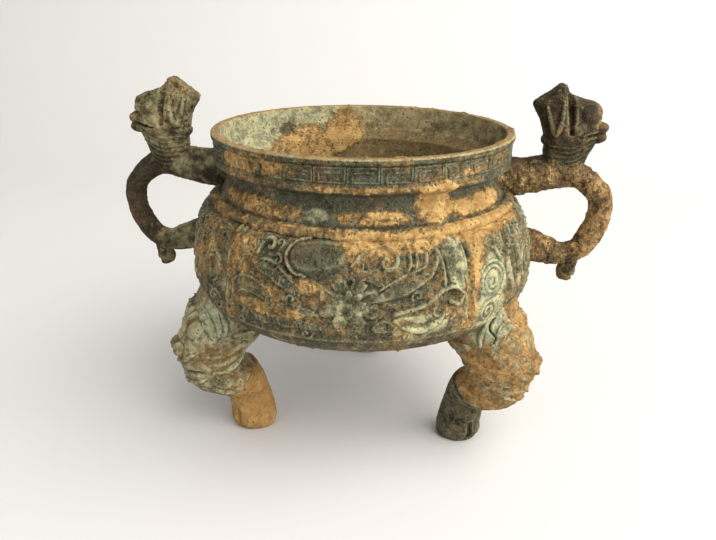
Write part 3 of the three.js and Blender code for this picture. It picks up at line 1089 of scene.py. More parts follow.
def whorl(across: float, down: float, side: int) -> list[Stroke]:
    """Broken rings of a worn eye, one inside the other.

    Args:
        across: millimetres from the middle of the panel to the eye.
        down: millimetres below the shoulder.
        side: 1 for the right eye, -1 for the left.

    Returns:
        The strokes.
    """
    radii, points = (6.8, 5.2, 3.7, 2.2), 14
    rings = []
    for k, radius in enumerate(radii):
        start, sweep = 70.0 + 115.0 * k, 250.0 - 25.0 * k
        turn = np.radians(np.linspace(start, start + sweep, points))
        path = tuple((across + side * radius * math.cos(t), down + radius * math.sin(t)) for t in turn)
        rings.append(Stroke(path, (0.4, 0.75, 0.4), 0.6))
    return rings


def mask_edge(side: int, shift: float) -> tuple[tuple[float, float], ...]:
    """Points down one edge of a mask, a shift to one side of its middle."""
    places = ((shift, 0.5), (shift - 0.6, 12.0), (shift, 24.0), (shift - 2, 34.0))
    return tuple((side * across, down) for across, down in places)


def mask_panel() -> list[Stroke]:
    """Brow, ear and eye curls of a leg's mask where it spreads up the belly.

    Returns:
        The strokes.
    """
    strokes = []
    for side in (-1, 1):
        for shift in (24.0, 27.0):
            strokes.append(Stroke(mask_edge(side, shift), (0.5,), 0.8))
        strokes += whorl(side * 14.0, 20.0, side)
        strokes.append(Stroke(spiral(side * 16.0, 30.6, 4.4, 1.9, 90 + side * 60, side), (0.6, 0.5), 0.58))
        ear = ((side * 8.0, 11.0), (side * 13.0, 5.6), (side * 20.0, 4.0))
        strokes.append(Stroke(ear, (1.0, 3.2, 1.0), 1.1, Profile.LEAF))
        for k in range(3):
            top, bend, foot = 5 + 2.2 * k, 6.4 + 2.4 * k, 4.6 + 2.2 * k
            lash = ((side * top, 3.0), (side * bend, 8.0), (side * foot, 13.0))
            strokes.append(Stroke(lash, (0.4, 0.6, 0.4), 0.9))
        brow = ((side * 2.0, 26.0), (side * 4.0, 18.0), (side * 3.0, 10.0))
        strokes.append(Stroke(brow, (0.8, 1.5, 0.6), 1.2))
    strokes.append(Stroke(((0, 4.0), (0, 9.0)), (1.8, 2.6), 1.2, Profile.LEAF))
    return with_veins(strokes)


def mask_seams() -> list[Stroke]:
    """The sunk, soil-filled lines that part a mask from the panels beside it."""
    return [Stroke(mask_edge(side, 25.5), (0.8, 1.0, 0.9), 0.9, Profile.GROOVE) for side in (-1, 1)]


@dataclass
class Bowl:
    """The belly with its lotus scroll, and the neck with its fret band."""

    foundry: Foundry
    skin: bpy.types.Material
    rim_z: float = 117.5
    rim_r: float = 56.5
    lip_thick: float = 3.0
    band_ground_r: float = 55.5
    band_top_z: float = 115.2
    band_low_z: float = 109.4
    band_foot_z: float = 106.6
    neck_r: float = 51.0
    neck_z: float = 102.0
    groove_r: float = 54.2
    groove_z: float = 95.3
    collar_r: float = 57.4
    collar_z: float = 93.3
    shoulder_r: float = 56.2
    shoulder_z: float = 91.6
    belly_r: float = 65.2
    belly_z: float = 67.5
    upper_power: float = 1.95
    lower_power: float = 2.5
    base_r: float = 24.0
    base_z: float = 46.3
    wall: float = 3.2
    floor_thick: float = 4.0
    border_down: float = 35.0
    fret_count: int = 33
    bar_width: float = 0.7
    bar_height: float = 0.8
    bar_wear: float = 0.9
    columns: int = 640
    gather: float = 0.45
    belly_surface: Surface = Surface(relief=1.3, crust=0.95, pit=0.22, lump=0.5)
    neck_surface: Surface = Surface(relief=1.3, crust=0.9, pit=0.22, lump=0.35)
    belly_soil: list[Patch] = field(
        default_factory=lambda: [
            Patch(13, 91, 17, 3.0, 0.50),
            Patch(5, 85, 8, 4.5, 0.14),
            Patch(42, 86, 4.5, 8, 0.42),
            Patch(39.5, 75, 2.4, 9, 0.36),
            Patch(37, 64, 4, 7, 0.28),
            Patch(52, 92, 26, 2.6, 0.55),
            Patch(-33, 85, 5.5, 6, 0.26),
            Patch(-11, 78, 3.5, 2.4, 0.34),
            Patch(-22, 68.5, 12, 2.2, 0.32),
            Patch(-21.5, 73.6, 4, 2.5, 0.20),
            Patch(-55, 80, 12, 12, 0.20),
            Patch(-38, 76, 1.6, 20, 0.24),
            Patch(-9.5, 86, 9, 5.5, -0.40),
            Patch(-22.5, 87, 5, 3.5, -0.25),
            Patch(34.5, 84.5, 4.5, 6.5, -0.45),
            Patch(4, 77.5, 7, 4, -0.35),
            Patch(17, 77, 7, 3.0, -0.30),
            Patch(49, 76, 6, 7, -0.35),
            Patch(2, 72, 7, 5, -0.12),
            Patch(150, 88, 30, 5, 0.20),
            Patch(-110, 70, 18, 6, 0.20),
        ]
    )
    neck_soil: list[Patch] = field(
        default_factory=lambda: [
            Patch(-38, 97.5, 24, 3.4, 0.42),
            Patch(-11.5, 98.2, 5.5, 2.6, -0.40),
            Patch(8, 97.6, 14, 2.2, 0.46),
            Patch(31, 102, 7, 8, 0.68),
            Patch(52, 104.6, 12, 1.6, -0.45),
            Patch(54, 98.4, 16, 3.2, 0.62),
            Patch(-12, 103.2, 34, 2.4, -0.50),
            Patch(-10, 107.6, 50, 1.0, 0.30),
            Patch(-38, 112.6, 20, 3.4, 0.46),
            Patch(2, 112, 16, 3.0, -0.30),
            Patch(50, 113, 18, 3.0, 0.22),
            Patch(150, 97, 40, 3.0, 0.35),
            Patch(-120, 97, 30, 3.0, 0.35),
            Patch(110, 112, 25, 3.0, 0.30),
            Patch(-150, 112, 20, 3.0, 0.30),
        ]
    )
    mouth_soil: list[Patch] = field(
        default_factory=lambda: [
            Patch(-167, 108, 8, 9, 0.62),
            Patch(-150, 101, 14, 8, 0.60),
            Patch(-132, 101, 11, 6, 0.50),
        ]
    )
    green_patches: list[Patch] = field(
        default_factory=lambda: [
            Patch(49, 76, 7, 8, 0.75),
            Patch(47, 64, 7, 6, 0.60),
            Patch(34.5, 84, 5, 8, 0.30),
            Patch(-10, 86, 9, 5, -0.22),
            Patch(20, 65, 9, 4, 0.45),
            Patch(-11.5, 98.2, 5, 2.4, 0.35),
            Patch(-48, 74, 8, 9, 0.25),
            Patch(2, 72, 8, 6, 0.22),
        ]
    )
    mouth_green: list[Patch] = field(
        default_factory=lambda: [
            Patch(-100, 108, 28, 12, 0.70),
            Patch(-140, 115, 28, 4, 0.60),
            Patch(150, 114, 55, 7, 0.48),
        ]
    )

    def azimuths(self) -> np.ndarray:
        """Degrees round the bowl, gathered closer on the front that shows most."""
        t = np.linspace(-1, 1, self.columns, endpoint=False)
        return 180 * (t - self.gather * np.sin(math.pi * t) / math.pi)

    def turned(self, profile: np.ndarray) -> tuple[np.ndarray, np.ndarray, np.ndarray]:
        """A profile turned about the axis.

        Args:
            profile: radius and height pairs.

        Returns:
            Azimuths, radii and heights, each rows by columns.
        """
        azimuth, radius = np.meshgrid(self.azimuths(), profile[:, 0])
        return azimuth, radius, np.repeat(profile[:, 1:], self.columns, 1)

    def places(self, azimuth: np.ndarray, radius: np.ndarray, z: np.ndarray) -> np.ndarray:
        """Points from azimuth, radius and height."""
        angle = np.radians(azimuth)
        return np.stack([radius * np.sin(angle), -radius * np.cos(angle), z], -1)

    def belly_radius(self, z: np.ndarray) -> np.ndarray:
        """Outside radius of the plain belly at a height.

        Args:
            z: heights in millimetres.

        Returns:
            Radii in millimetres.
        """
        up = np.clip((z - self.belly_z) / (self.shoulder_z - self.belly_z), 0, 1)
        down = np.clip((self.belly_z - z) / (self.belly_z - self.base_z), 0, 1)
        upper_share = (1 - up**self.upper_power) ** (1 / self.upper_power)
        lower_share = (1 - down**self.lower_power) ** (1 / self.lower_power)
        upper = self.shoulder_r + (self.belly_r - self.shoulder_r) * upper_share
        lower = self.base_r + (self.belly_r - self.base_r) * lower_share
        return np.where(z >= self.belly_z, upper, lower)

    def ornament(self, azimuth: np.ndarray, down: np.ndarray) -> np.ndarray:
        """Height of panels, masks, seams and the border under them.

        Args:
            azimuth: degrees from the front.
            down: millimetres along the belly below its shoulder.

        Returns:
            Heights in millimetres.
        """
        border_half, border_height = 0.7, 0.45
        scale = math.radians(1) * self.belly_r
        relief = hump(down, self.border_down, border_half) * border_height
        laid = [(0, front_panel())]
        laid += [(centre, plain_panel()) for centre in AWAY_AZIMUTHS]
        laid += [(centre, mask_panel()) for centre in LEG_AZIMUTHS]
        for centre, strokes in laid:
            relief = np.maximum(relief, raised(turn_from(azimuth, centre) * scale, down, strokes))
        for centre in LEG_AZIMUTHS:
            relief = relief + raised(turn_from(azimuth, centre) * scale, down, mask_seams())
        return relief

    def belly_profile(self) -> tuple[np.ndarray, int, int]:
        """Section of the belly, from the middle of its base round the rim to the middle of its floor.

        Returns:
            Radius and height pairs, the row of the shoulder and the row past the outside.
        """
        lower_rows, upper_rows, inner_upper_rows, inner_lower_rows = 126, 66, 6, 8
        fine_rows, coarse_step, collar_step = 30, 5, 0.9
        axis_r, under_r, floor_r = 0.4, 12, 10
        wide, inner = (self.belly_r, self.belly_z), (self.belly_r - self.wall, self.belly_z)
        sweep = belly_arc(wide, (self.base_r, self.base_z), self.lower_power, lower_rows)
        lower = np.vstack([sweep[:fine_rows], sweep[fine_rows::coarse_step]])[::-1]
        upper = belly_arc(wide, (self.shoulder_r, self.shoulder_z), self.upper_power, upper_rows)[1:]
        collar = [
            (self.shoulder_r, self.shoulder_z),
            (self.collar_r, self.shoulder_z + 0.5),
            (self.collar_r, self.collar_z + 0.4),
            (self.groove_r + 0.6, self.groove_z - 0.3),
            (self.groove_r + 0.1, self.groove_z - 0.7),
            (self.neck_r - self.wall + 0.6, self.groove_z - 0.7),
        ]
        rim = filled(collar, collar_step)[1:]
        inner_shoulder = (self.shoulder_r - self.wall - 0.4, self.shoulder_z - 1.5)
        floor_z = self.base_z + self.floor_thick
        high = belly_arc(inner, inner_shoulder, self.upper_power, inner_upper_rows)[::-1]
        low = belly_arc(inner, (self.base_r - 2, floor_z), self.lower_power, inner_lower_rows)[1:]
        under = [(axis_r, self.base_z), (under_r, self.base_z)]
        floor = [(floor_r, floor_z), (axis_r, floor_z)]
        shoulder = len(under) + len(lower) + len(upper) - 1
        return np.vstack([under, lower, upper, rim, high, low, floor]), shoulder, shoulder + len(rim) - 3

    def belly_shell(self) -> Shell:
        """The belly's outside with relief, its rim under the neck, and its plain inside.

        Returns:
            The shell.
        """
        outer_soil, inner_soil, collar_soil, groove_loss = 0.26, 0.24, 0.24, 0.25
        outer_green, inner_green = 0.24, 0.30
        outer_film, inner_film = 0.1, 0.3
        profile, shoulder, past_outside = self.belly_profile()
        row = np.arange(len(profile))[:, None]
        outside = row < past_outside
        steps = np.hypot(*np.diff(profile, axis=0).T)
        down = np.zeros(len(profile))
        down[:shoulder] = np.cumsum(steps[:shoulder][::-1])[::-1]
        azimuth, radius, z = self.turned(profile)
        carved = self.ornament(azimuth, np.repeat(down[:, None], self.columns, 1))
        relief = np.where(row < shoulder, carved, 0) * ramp(radius, self.base_r, 1)
        groove = hump(radius, self.groove_r + 0.4, 0.7) * (z > self.collar_z)
        soil = np.where(outside, outer_soil, inner_soil) + patched(azimuth, z, self.belly_soil) * outside
        soil = soil + np.where((z > self.shoulder_z) & outside, collar_soil, 0.0) - groove_loss * groove
        green = np.where(outside, outer_green, inner_green)
        green = green + patched(azimuth, z, self.green_patches) * outside
        film = np.where(outside, outer_film, inner_film)
        return Shell(self.places(azimuth, radius, z), relief, soil, green, film=film)

    def neck_corners(self) -> list[tuple[float, float]]:
        """Radius and height of each corner of the neck and lip, closed on itself.

        Returns:
            The corners, the first one again at the end.
        """
        foot, bore = self.groove_z - 1.6, self.neck_r - self.wall + 0.4
        lip_bore = self.rim_r - self.lip_thick
        return [
            (bore, foot),
            (self.groove_r, foot),
            (self.groove_r - 0.3, self.groove_z - 0.2),
            (self.neck_r + 1.6, self.groove_z + 2.4),
            (self.neck_r, self.neck_z),
            (self.neck_r + 0.2, self.band_foot_z - 2.2),
            (self.rim_r - 0.8, self.band_foot_z),
            (self.rim_r - 0.5, self.band_low_z - 0.3),
            (self.band_ground_r, self.band_low_z),
            (self.band_ground_r, self.band_top_z),
            (self.rim_r, self.band_top_z + 0.4),
            (self.rim_r, self.rim_z - 0.3),
            (self.rim_r - 0.3, self.rim_z),
            (lip_bore + 0.3, self.rim_z),
            (lip_bore, self.rim_z - 0.3),
            (lip_bore - 0.6, self.band_foot_z + 1.5),
            (bore, self.neck_z + 2),
            (bore, foot),
        ]

    def neck_shell(self) -> Shell:
        """The neck, the moulded lip and the inside of the mouth as one closed ring.

        Returns:
            The shell.
        """
        corner_step, lip_depth = 0.5, 0.4
        base_soil, mouth_base_soil, lip_soil, groove_loss = 0.22, 0.14, 0.34, 0.25
        base_green, mouth_base_green = 0.16, 0.24
        base_film, mouth_film, shade_film, lip_film = 0.08, 0.15, 0.34, 0.70
        azimuth, radius, z = self.turned(filled(self.neck_corners(), corner_step)[:-1])
        lip = z > self.rim_z - lip_depth
        inside = np.arange(len(z))[:, None] > np.argmax(z[:, 0] - radius[:, 0] * 0.01)
        groove = hump(z, self.groove_z - 0.4, 0.6)
        outer_soil = base_soil + patched(azimuth, z, self.neck_soil) - groove_loss * groove
        soil = np.where(inside, mouth_base_soil + patched(azimuth, z, self.mouth_soil), outer_soil)
        soil = np.where(lip, lip_soil, soil)
        outer_green = base_green + patched(azimuth, z, self.green_patches)
        green = np.where(inside, mouth_base_green + patched(azimuth, z, self.mouth_green), outer_green)

        # The shaded side of the mouth, from the right round to the back, is dustier.
        turn = azimuth % 360
        shaded = mouth_film + shade_film * ramp(turn, 80, 30) * ramp(200 - turn, 0, 12)
        film = np.where(lip, lip_film, np.where(inside, shaded, base_film))
        wear = hump(z, self.rim_z - 0.2, 0.3) * (radius > self.rim_r - 0.6)
        wear = wear + hump(z, self.band_foot_z, 0.5) * (radius > self.rim_r - 2) * 0.4
        return Shell(self.places(azimuth, radius, z), np.zeros_like(z), soil, green, True, wear, film)

    def fret_unit(self) -> bpy.types.Mesh:
        """One squared spiral of the fret as a line, worked out from the band's height.

        Returns:
            A mesh of edges alone.
        """
        bar_gap, side_gap, base_gap = 1.5, 0.9, 0.6
        left, low = 0.0, 0.0
        right = math.tau * self.band_ground_r / self.fret_count - side_gap
        high = self.band_top_z - self.band_low_z - 2 * base_gap
        corners = [(left, low)]
        for _ in range(2):
            corners += [(left, high), (right, high), (right, low), (left + bar_gap, low)]
            left, right, high, low = left + bar_gap, right - bar_gap, high - bar_gap, low + bar_gap
        places = [(x * MM, 0.0, (self.band_low_z + base_gap + z) * MM) for x, z in corners[:-2]]
        mesh = bpy.data.meshes.new("fret_unit")
        mesh.from_pydata(places, [(i, i + 1) for i in range(len(places) - 1)], [])
        return mesh

    def build(self) -> list[bpy.types.Object]:
        """Casts the belly, the neck and the fret.

        Returns:
            The finished pieces.
        """
        belly_seed, neck_seed, fret_seed = 3.0, 5.0, 8.0
        run, finish = self.foundry.run, self.foundry.finish
        belly_values = self.belly_surface.inputs(belly_seed, self.skin)
        neck_values = self.neck_surface.inputs(neck_seed, self.skin)
        fret_values = {
            "Count": self.fret_count,
            "Radius": self.band_ground_r * MM,
            "Axis Y": AXIS_Y * MM,
            "Bar Width": self.bar_width * MM,
            "Bar Height": self.bar_height * MM,
            "Wear": self.bar_wear * MM,
            "Seed": fret_seed,
            "Material": self.skin,
        }
        belly = run(self.belly_shell().mesh("belly"), self.foundry.cast, belly_values)
        neck = run(self.neck_shell().mesh("neck"), self.foundry.cast, neck_values)
        fret = run(self.fret_unit(), self.foundry.fret, fret_values)
        return [finish("belly", [belly]), finish("neck", [neck]), finish("fret", [fret])]


@dataclass
class Leg:
    """A beast-mask leg, in its own radial plane along x."""

    foundry: Foundry
    skin: bpy.types.Material
    bowl: Bowl
    paw_inner: float = 41.0
    paw_outer: float = 53.0
    shank_half: float = 7.2
    snout_r: float = 76.8
    snout_z: float = 40.0
    mask_half: float = 15.0
    chin_z: float = 17.5
    brow_z: float = 65.0
    notch_z: float = 35.0
    notch: float = 11.0
    snout_taper: float = 0.26
    crease_end: float = 58.0
    columns: int = 210
    rows: int = 210
    surface: Surface = Surface(relief=1.25, crust=0.55, pit=0.3, lump=1.1)

    def levels(self) -> list[tuple[float, float, float, float]]:
        """Height, inner reach, outer reach and half width, from paw to brow.

        Returns:
            One row for each level.
        """
        inner, outer, shank = self.paw_inner, self.paw_outer, self.shank_half
        snout, mask = self.snout_r, self.mask_half
        return [
            (0.0, inner, outer, shank - 0.6),
            (1.4, inner - 1.3, outer + 1.9, shank + 0.6),
            (4.5, inner - 1.7, outer + 3.4, shank + 1.0),
            (8.0, inner - 1.4, outer + 3.4, shank + 0.4),
            (self.chin_z - 2.5, inner + 0.2, outer + 4.4, shank - 0.2),
            (self.chin_z, inner + 0.9, outer + 7.0, shank + 1.2),
            (self.chin_z + 3, inner + 1.8, snout - 9.6, mask - 4.4),
            (self.chin_z + 6, inner + 2.8, snout - 5.8, mask - 3.0),
            (self.notch_z - 6, inner + 5.4, snout - 2.8, mask - 2.2),
            (self.notch_z - 2.6, inner + self.notch - 1.4, snout - 1.8, mask - 1.8),
            (self.notch_z + 1, inner + self.notch, snout - 1.0, mask - 1.6),
            (self.snout_z, inner + self.notch - 2.0, snout, mask - 1.0),
            (self.snout_z + 4.5, inner + 4.0, snout - 2.2, mask),
            (self.snout_z + 9, inner + 3.0, snout - 4.8, mask + 0.6),
            (self.snout_z + 15, inner + 7.0, snout - 8.0, mask + 0.4),
            (self.brow_z - 4, inner + 11.0, snout - 11.4, mask - 0.8),
            (self.brow_z, inner + 15.0, snout - 13.6, mask - 4.5),
        ]

    def flank_strokes(self) -> list[Stroke]:
        """Wrinkles, leaf and cheek curls of the mask's sides, by reach and height.

        Returns:
            The strokes.
        """
        strokes = []
        for k in range(3):
            drop = 3.6 * k
            back, front = (46.0 + k, 47.0 - drop), (69.0 - 2 * k, 39.6 - drop)
            sweep = (back, (54.0, 43.0 - drop), (61.0, 40.0 - drop), front)
            strokes.append(Stroke(sweep, (0.5, 1.3, 1.1, 0.5), 0.85))
        strokes += [
            Stroke(((47.0, 47.5), (52.0, 46.8), (57.0, 47.6)), (0.9, 2.0, 0.8), 1.2, Profile.LEAF),
            Stroke(((66.5, 57.0), (66.0, 52.0), (64.5, 47.0)), (0.8, 1.8, 0.8), 1.1, Profile.LEAF),
            Stroke(((61.5, 57.0), (60.4, 52.6), (60.6, 48.6)), (0.5, 0.9, 0.5), 0.9),
            Stroke(((57.5, 29.6), (61.0, 30.6), (65.0, 32.4)), (0.9, 2.5, 0.9), 1.2, Profile.LEAF),
            Stroke(((55.0, 24.0), (61.0, 22.8), (67.0, 26.0), (71.0, 31.0)), (0.6, 0.9, 0.8, 0.6), 1.0),
            Stroke(((70.5, 46.0), (72.5, 42.0), (71.5, 38.0)), (0.6, 1.0, 0.6), 1.0),
        ]
        return strokes

    def face_strokes(self) -> list[Stroke]:
        """Brows, eyes, nose and mouth of the mask's front, by breadth and height.

        Returns:
            The strokes.
        """
        strokes = [
            Stroke(((0, 55), (0, 46)), (1.4, 2.4), 1.0),
            Stroke(((-9, 32.2), (0, 31.0), (9, 32.2)), (1.1, 1.4, 1.1), 1.5, Profile.GROOVE),
        ]
        for side in (-1, 1):
            strokes += [
                Stroke(((side * 6.8, 49), (side * 6.6, 49.2)), (3.2, 3.2), 0.9, Profile.DOME),
                Stroke(((side * 10.5, 53), (side * 6, 55.2), (side * 1.8, 52)), (0.8, 1.5, 0.9), 1.3),
                Stroke(((side * 3.6, 41), (side * 3.2, 41.2)), (2.4, 2.4), 1.3, Profile.DOME),
                Stroke(((side * 2.0, 36.5), (side * 6.0, 37.6), (side * 9.0, 40.4)), (0.6, 0.9, 0.6), 1.0),
                Stroke(((side * 1.6, 28), (side * 5.0, 27), (side * 8.4, 29)), (0.5, 0.8, 0.5), 0.9),
            ]
        return strokes

    def toe_strokes(self) -> list[Stroke]:
        """Grooves between the toes of the paw, by breadth and height."""
        places = (-4.2, -0.2, 3.8)
        return [Stroke(((y, 0.0), (y * 0.9, 9.0)), (1.0, 0.8), 1.3, Profile.GROOVE) for y in places]

    def carving(self, points: np.ndarray) -> np.ndarray:
        """Everything carved on the leg.

        Args:
            points: rows by columns of places in the leg's plane.

        Returns:
            Heights in millimetres.
        """
        crease_depth, crease_half, flank_on_face = 0.8, 0.9, 0.3
        x, y, z = points[..., 0], points[..., 1], points[..., 2]
        flank = ramp(np.abs(y), 4.0, 3.0)
        outward = ramp(x, self.snout_r - 13, 5.0)
        height = raised(x, z, self.flank_strokes()) * flank * (1 - outward * (1 - flank_on_face))
        height += raised(y, z, self.face_strokes()) * outward
        height += raised(y, z, self.toe_strokes()) * ramp(x, self.paw_outer - 4, 2.0)
        crease = hump(self.shank_edge(points), 0, crease_half) * ramp(self.crease_end - x, 0, 4)
        return height - crease_depth * crease

    def shank_edge(self, points: np.ndarray) -> np.ndarray:
        """Distance below the slanting line where the shank comes out of the mask.

        Args:
            points: rows by columns of places in the leg's plane.

        Returns:
            Distances in millimetres, above the line below zero.
        """
        slope, square_on, drop = 1.05, 0.7, 6.0
        below = self.notch_z - 1.0 - points[..., 2]
        beyond = points[..., 0] - self.paw_inner - self.notch
        return (below - slope * beyond) * square_on - drop

    def shell(self, burial: Burial) -> Shell:
        """The leg's closed grid, its root kept within the belly's wall.

        Args:
            burial: what the ground left on the mask and on the shank below it.

        Returns:
            The shell.
        """
        shank_blend, crack_half, crack_depth = 1.5, (0.3, 0.42, 0.36), 1.5
        bare_reach, bare_height, bare_breadth = (61, 8), (56, 8.5), (4, 4)
        bare_soil_loss, bare_green = 0.55, 0.25
        points = stacked(self.levels(), self.rows, self.columns, self.snout_taper)
        points[..., 2] = points[..., 2].clip(0)
        x, y, z = points[..., 0], points[..., 1], points[..., 2]
        wall_middle = self.bowl.belly_radius(z) - self.bowl.wall / 2
        least = np.where(z > self.bowl.base_z + 1, wall_middle, 0)
        push = np.maximum(1, least / np.maximum(np.hypot(x, y), 1))
        points[..., :2] *= push[..., None]
        relief = self.carving(points)
        if burial.crack:
            split = Stroke(burial.crack, crack_half, crack_depth, Profile.GROOVE)
            relief = relief + raised(x, z, [split]) * (y < 0)

        # Each flank is bare of soil where the mask meets the belly.
        bare = hump(x, *bare_reach) * hump(z, *bare_height) * ramp(np.abs(y), *bare_breadth)
        shank = np.clip(self.shank_edge(points) / shank_blend + 0.5, 0, 1)
        soil = burial.soil_at(shank) - bare_soil_loss * bare
        green = burial.green_at(shank) + bare_green * bare
        film = burial.film * (1 - shank) * (1 - bare)
        return Shell(points, relief, soil, green, film=film)

    def build(self, name: str, azimuth: float, burial: Burial) -> bpy.types.Object:
        """Casts one leg and turns it to its place.

        Args:
            name: name of the piece.
            azimuth: degrees from the front, toward the right.
            burial: what the ground left on this leg.

        Returns:
            The finished piece.
        """
        mesh = self.shell(burial).mesh(name, azimuth - 90)
        seed = azimuth / 10
        values = self.surface.inputs(seed, self.skin)
        return self.foundry.finish(name, [self.foundry.run(mesh, self.foundry.cast, values)])


@dataclass
class Handle:
    """A ring handle with a beast head above its arm and a curl below."""

    foundry: Foundry
    skin: bpy.types.Material
    arm_z: float = 101.6
    arm_half: float = 7.6
    ring_half: float = 4.1
    ring_r: float = 91.2
    ring_z: float = 88.0
    root_z: float = 72.4
    curl_x: float = 81.6
    curl_z: float = 62.0
    head_z: float = 105.0
    head_top: float = 134.5
    head_inner: float = 66.6
    head_outer: float = 83.0
    head_half: float = 6.6
    rows: int = 280
    columns: int = 60
    head_grid: int = 170
    curl_rows: int = 60
    curl_columns: int = 40
    lump_rows: int = 18
    lump_columns: int = 28
    surface: Surface = Surface(relief=1.0, crust=0.8, pit=0.8, lump=1.6)

    def bar(self, path: list[tuple[float, ...]], rows: int, columns: int) -> np.ndarray:
        """Points of an oval bar along a path in the plane y = 0.

        Args:
            path: x, z, half height and half width at each knot.
            rows: sections along the bar.
            columns: points round it.

        Returns:
            Rows by columns of places.
        """
        table = sampled(path, rows)
        along = np.gradient(table[:, :2], axis=0)
        along /= np.linalg.norm(along, axis=1, keepdims=True)
        angle = np.linspace(0, math.tau, columns, endpoint=False)
        tall, wide = table[:, 2:3], table[:, 3:4]
        x = table[:, :1] - along[:, 1:] * tall * np.cos(angle)
        z = table[:, 1:2] + along[:, :1] * tall * np.cos(angle)
        return np.stack([x, -wide * np.sin(angle), z], -1)

    def lump(self, centre: tuple[float, float, float], half: tuple[float, float, float]) -> np.ndarray:
        """Places on an egg-shaped lump.

        Args:
            centre: its middle.
            half: half its size along x, y and z.

        Returns:
            Rows by columns of places.
        """
        near_pole = 1.54
        rise = np.linspace(-near_pole, near_pole, self.lump_rows)[:, None]
        angle = np.linspace(0, math.tau, self.lump_columns, endpoint=False)
        across, depth = np.cos(rise) * np.cos(angle), np.cos(rise) * np.sin(angle)
        shape = np.stack([across, depth, np.repeat(np.sin(rise), self.lump_columns, 1)], -1)
        return np.asarray(centre) + shape * np.asarray(half)

    def soiled(self, points: np.ndarray, relief: np.ndarray, burial: Burial) -> Shell:
        """A shell soiled by the given amounts, and more on the crest and brow of the head.

        Args:
            points: rows by columns of places.
            relief: height of what is carved there.
            burial: soil and verdigris of the head and of the ring.

        Returns:
            The shell.
        """
        ring_start, ring_blend, arm_share, arm_blend = 80, 6, 0.6, 3
        brow_z, crest_soil, brow_soil = self.head_z + 14.5, 0.2, 0.35
        x, z = points[..., 0], points[..., 2]
        ring = ramp(x, ring_start, ring_blend) * (z < self.head_z)
        arm = arm_share * ramp(self.head_z + arm_blend - z, 0, arm_blend)
        brow = ramp(x, self.head_outer + 0.5, 2) * (z > brow_z)
        crest = ramp(z, self.head_top - 8, 5)
        soil = burial.soil_at(np.maximum(ring, arm)) + crest_soil * crest + brow_soil * brow
        return Shell(points, relief, soil, burial.green_at(ring), film=burial.film)

    def ring_points(self) -> np.ndarray:
        """Arm, ring and lower root as one swept bar.

        Returns:
            Rows by columns of places.
        """
        path = [
            (49.8, self.arm_z - 2.2, self.arm_half - 3.2, 4.6),
            (53.6, self.arm_z - 1.8, self.arm_half - 0.2, 5.1),
            (62, self.arm_z - 0.8, self.arm_half - 0.6, 5.0),
            (72, self.arm_z + 0.8, self.arm_half - 1.2, 4.8),
            (80, self.arm_z + 0.2, 5.0, 4.4),
            (86.6, self.arm_z - 4, self.ring_half, 4.0),
            (self.ring_r - 0.6, self.ring_z + 4.4, self.ring_half, 3.8),
            (self.ring_r - 0.2, self.ring_z - 3.2, self.ring_half, 3.8),
            (88.4, self.ring_z - 10.4, self.ring_half, 3.8),
            (83.8, self.root_z - 0.6, self.ring_half, 3.8),
            (77, self.root_z - 2.4, self.ring_half + 0.4, 4.0),
            (70, self.root_z - 0.6, self.ring_half + 1.6, 4.6),
            (61.8, self.root_z + 1, self.ring_half + 3, 5.0),
        ]
        return self.bar(path, self.rows, self.columns)

    def head_points(self) -> np.ndarray:
        """The beast head's grid: neck, skull and the mane flap that rises to a slanting top.

        Returns:
            Rows by columns of places.
        """
        foot, inner, outer, half = self.head_z, self.head_inner, self.head_outer, self.head_half
        levels = [
            (foot - 4, inner + 1.6, outer - 0.6, half - 2.0),
            (foot, inner + 1.2, outer, half - 1.4),
            (foot + 5, inner + 1.0, outer + 1.2, half - 0.8),
            (foot + 10, inner + 0.6, outer + 3.4, half),
            (foot + 14, inner - 0.4, outer + 4.2, half + 0.4),
            (foot + 18, inner - 2.0, outer + 3.4, half + 0.2),
            (foot + 22.5, inner - 4.4, outer + 1.4, half - 0.6),
            (foot + 24.5, inner - 2.6, outer - 2.6, half - 1.0),
            (foot + 26.4, inner + 0.4, outer - 7.4, half - 1.6),
            (self.head_top, inner + 4.4, outer - 9.8, half - 2.6),
        ]
        return stacked(levels, self.head_grid, self.head_grid)

    def head_strokes(self) -> list[Stroke]:
        """Mane folds, neck lines, mouth, cheek and the seam behind the brow, by reach and height.

        Returns:
            The strokes.
        """
        foot, inner, outer = self.head_z, self.head_inner, self.head_outer
        fold = (
            (inner + 0.2, foot + 22.0),
            (inner + 2.4, foot + 15.4),
            (inner + 4.0, foot + 12.4),
            (inner + 5.4, foot + 16.4),
            (inner + 5.6, foot + 24.0),
        )
        strokes = [Stroke(fold, (0.6, 1.0, 1.2, 1.0, 0.7), 1.0)]
        for k in range(7):
            rise = foot + 8.6 - 1.75 * k
            line = ((outer + 1, rise + 3.0), (outer - 6, rise - 0.8), (inner + 2.5, rise - 0.6))
            strokes.append(Stroke(line, (0.3, 0.42, 0.3), 0.30))
        mouth = ((outer + 6, foot + 12.8), (outer - 3.4, foot + 11.4))
        seam = ((outer - 8.2, foot + 26), (outer - 6.8, foot + 13))
        cheek = ((outer - 4.6, foot + 13.6), (outer - 3.6, foot + 15.0))
        strokes += [
            Stroke(mouth, (0.8, 0.7), 1.4, Profile.GROOVE),
            Stroke(seam, (1.5, 1.1), 2.6, Profile.GROOVE),
            Stroke(cheek, (1.4, 1.8), 0.7, Profile.DOME),
        ]
        return strokes

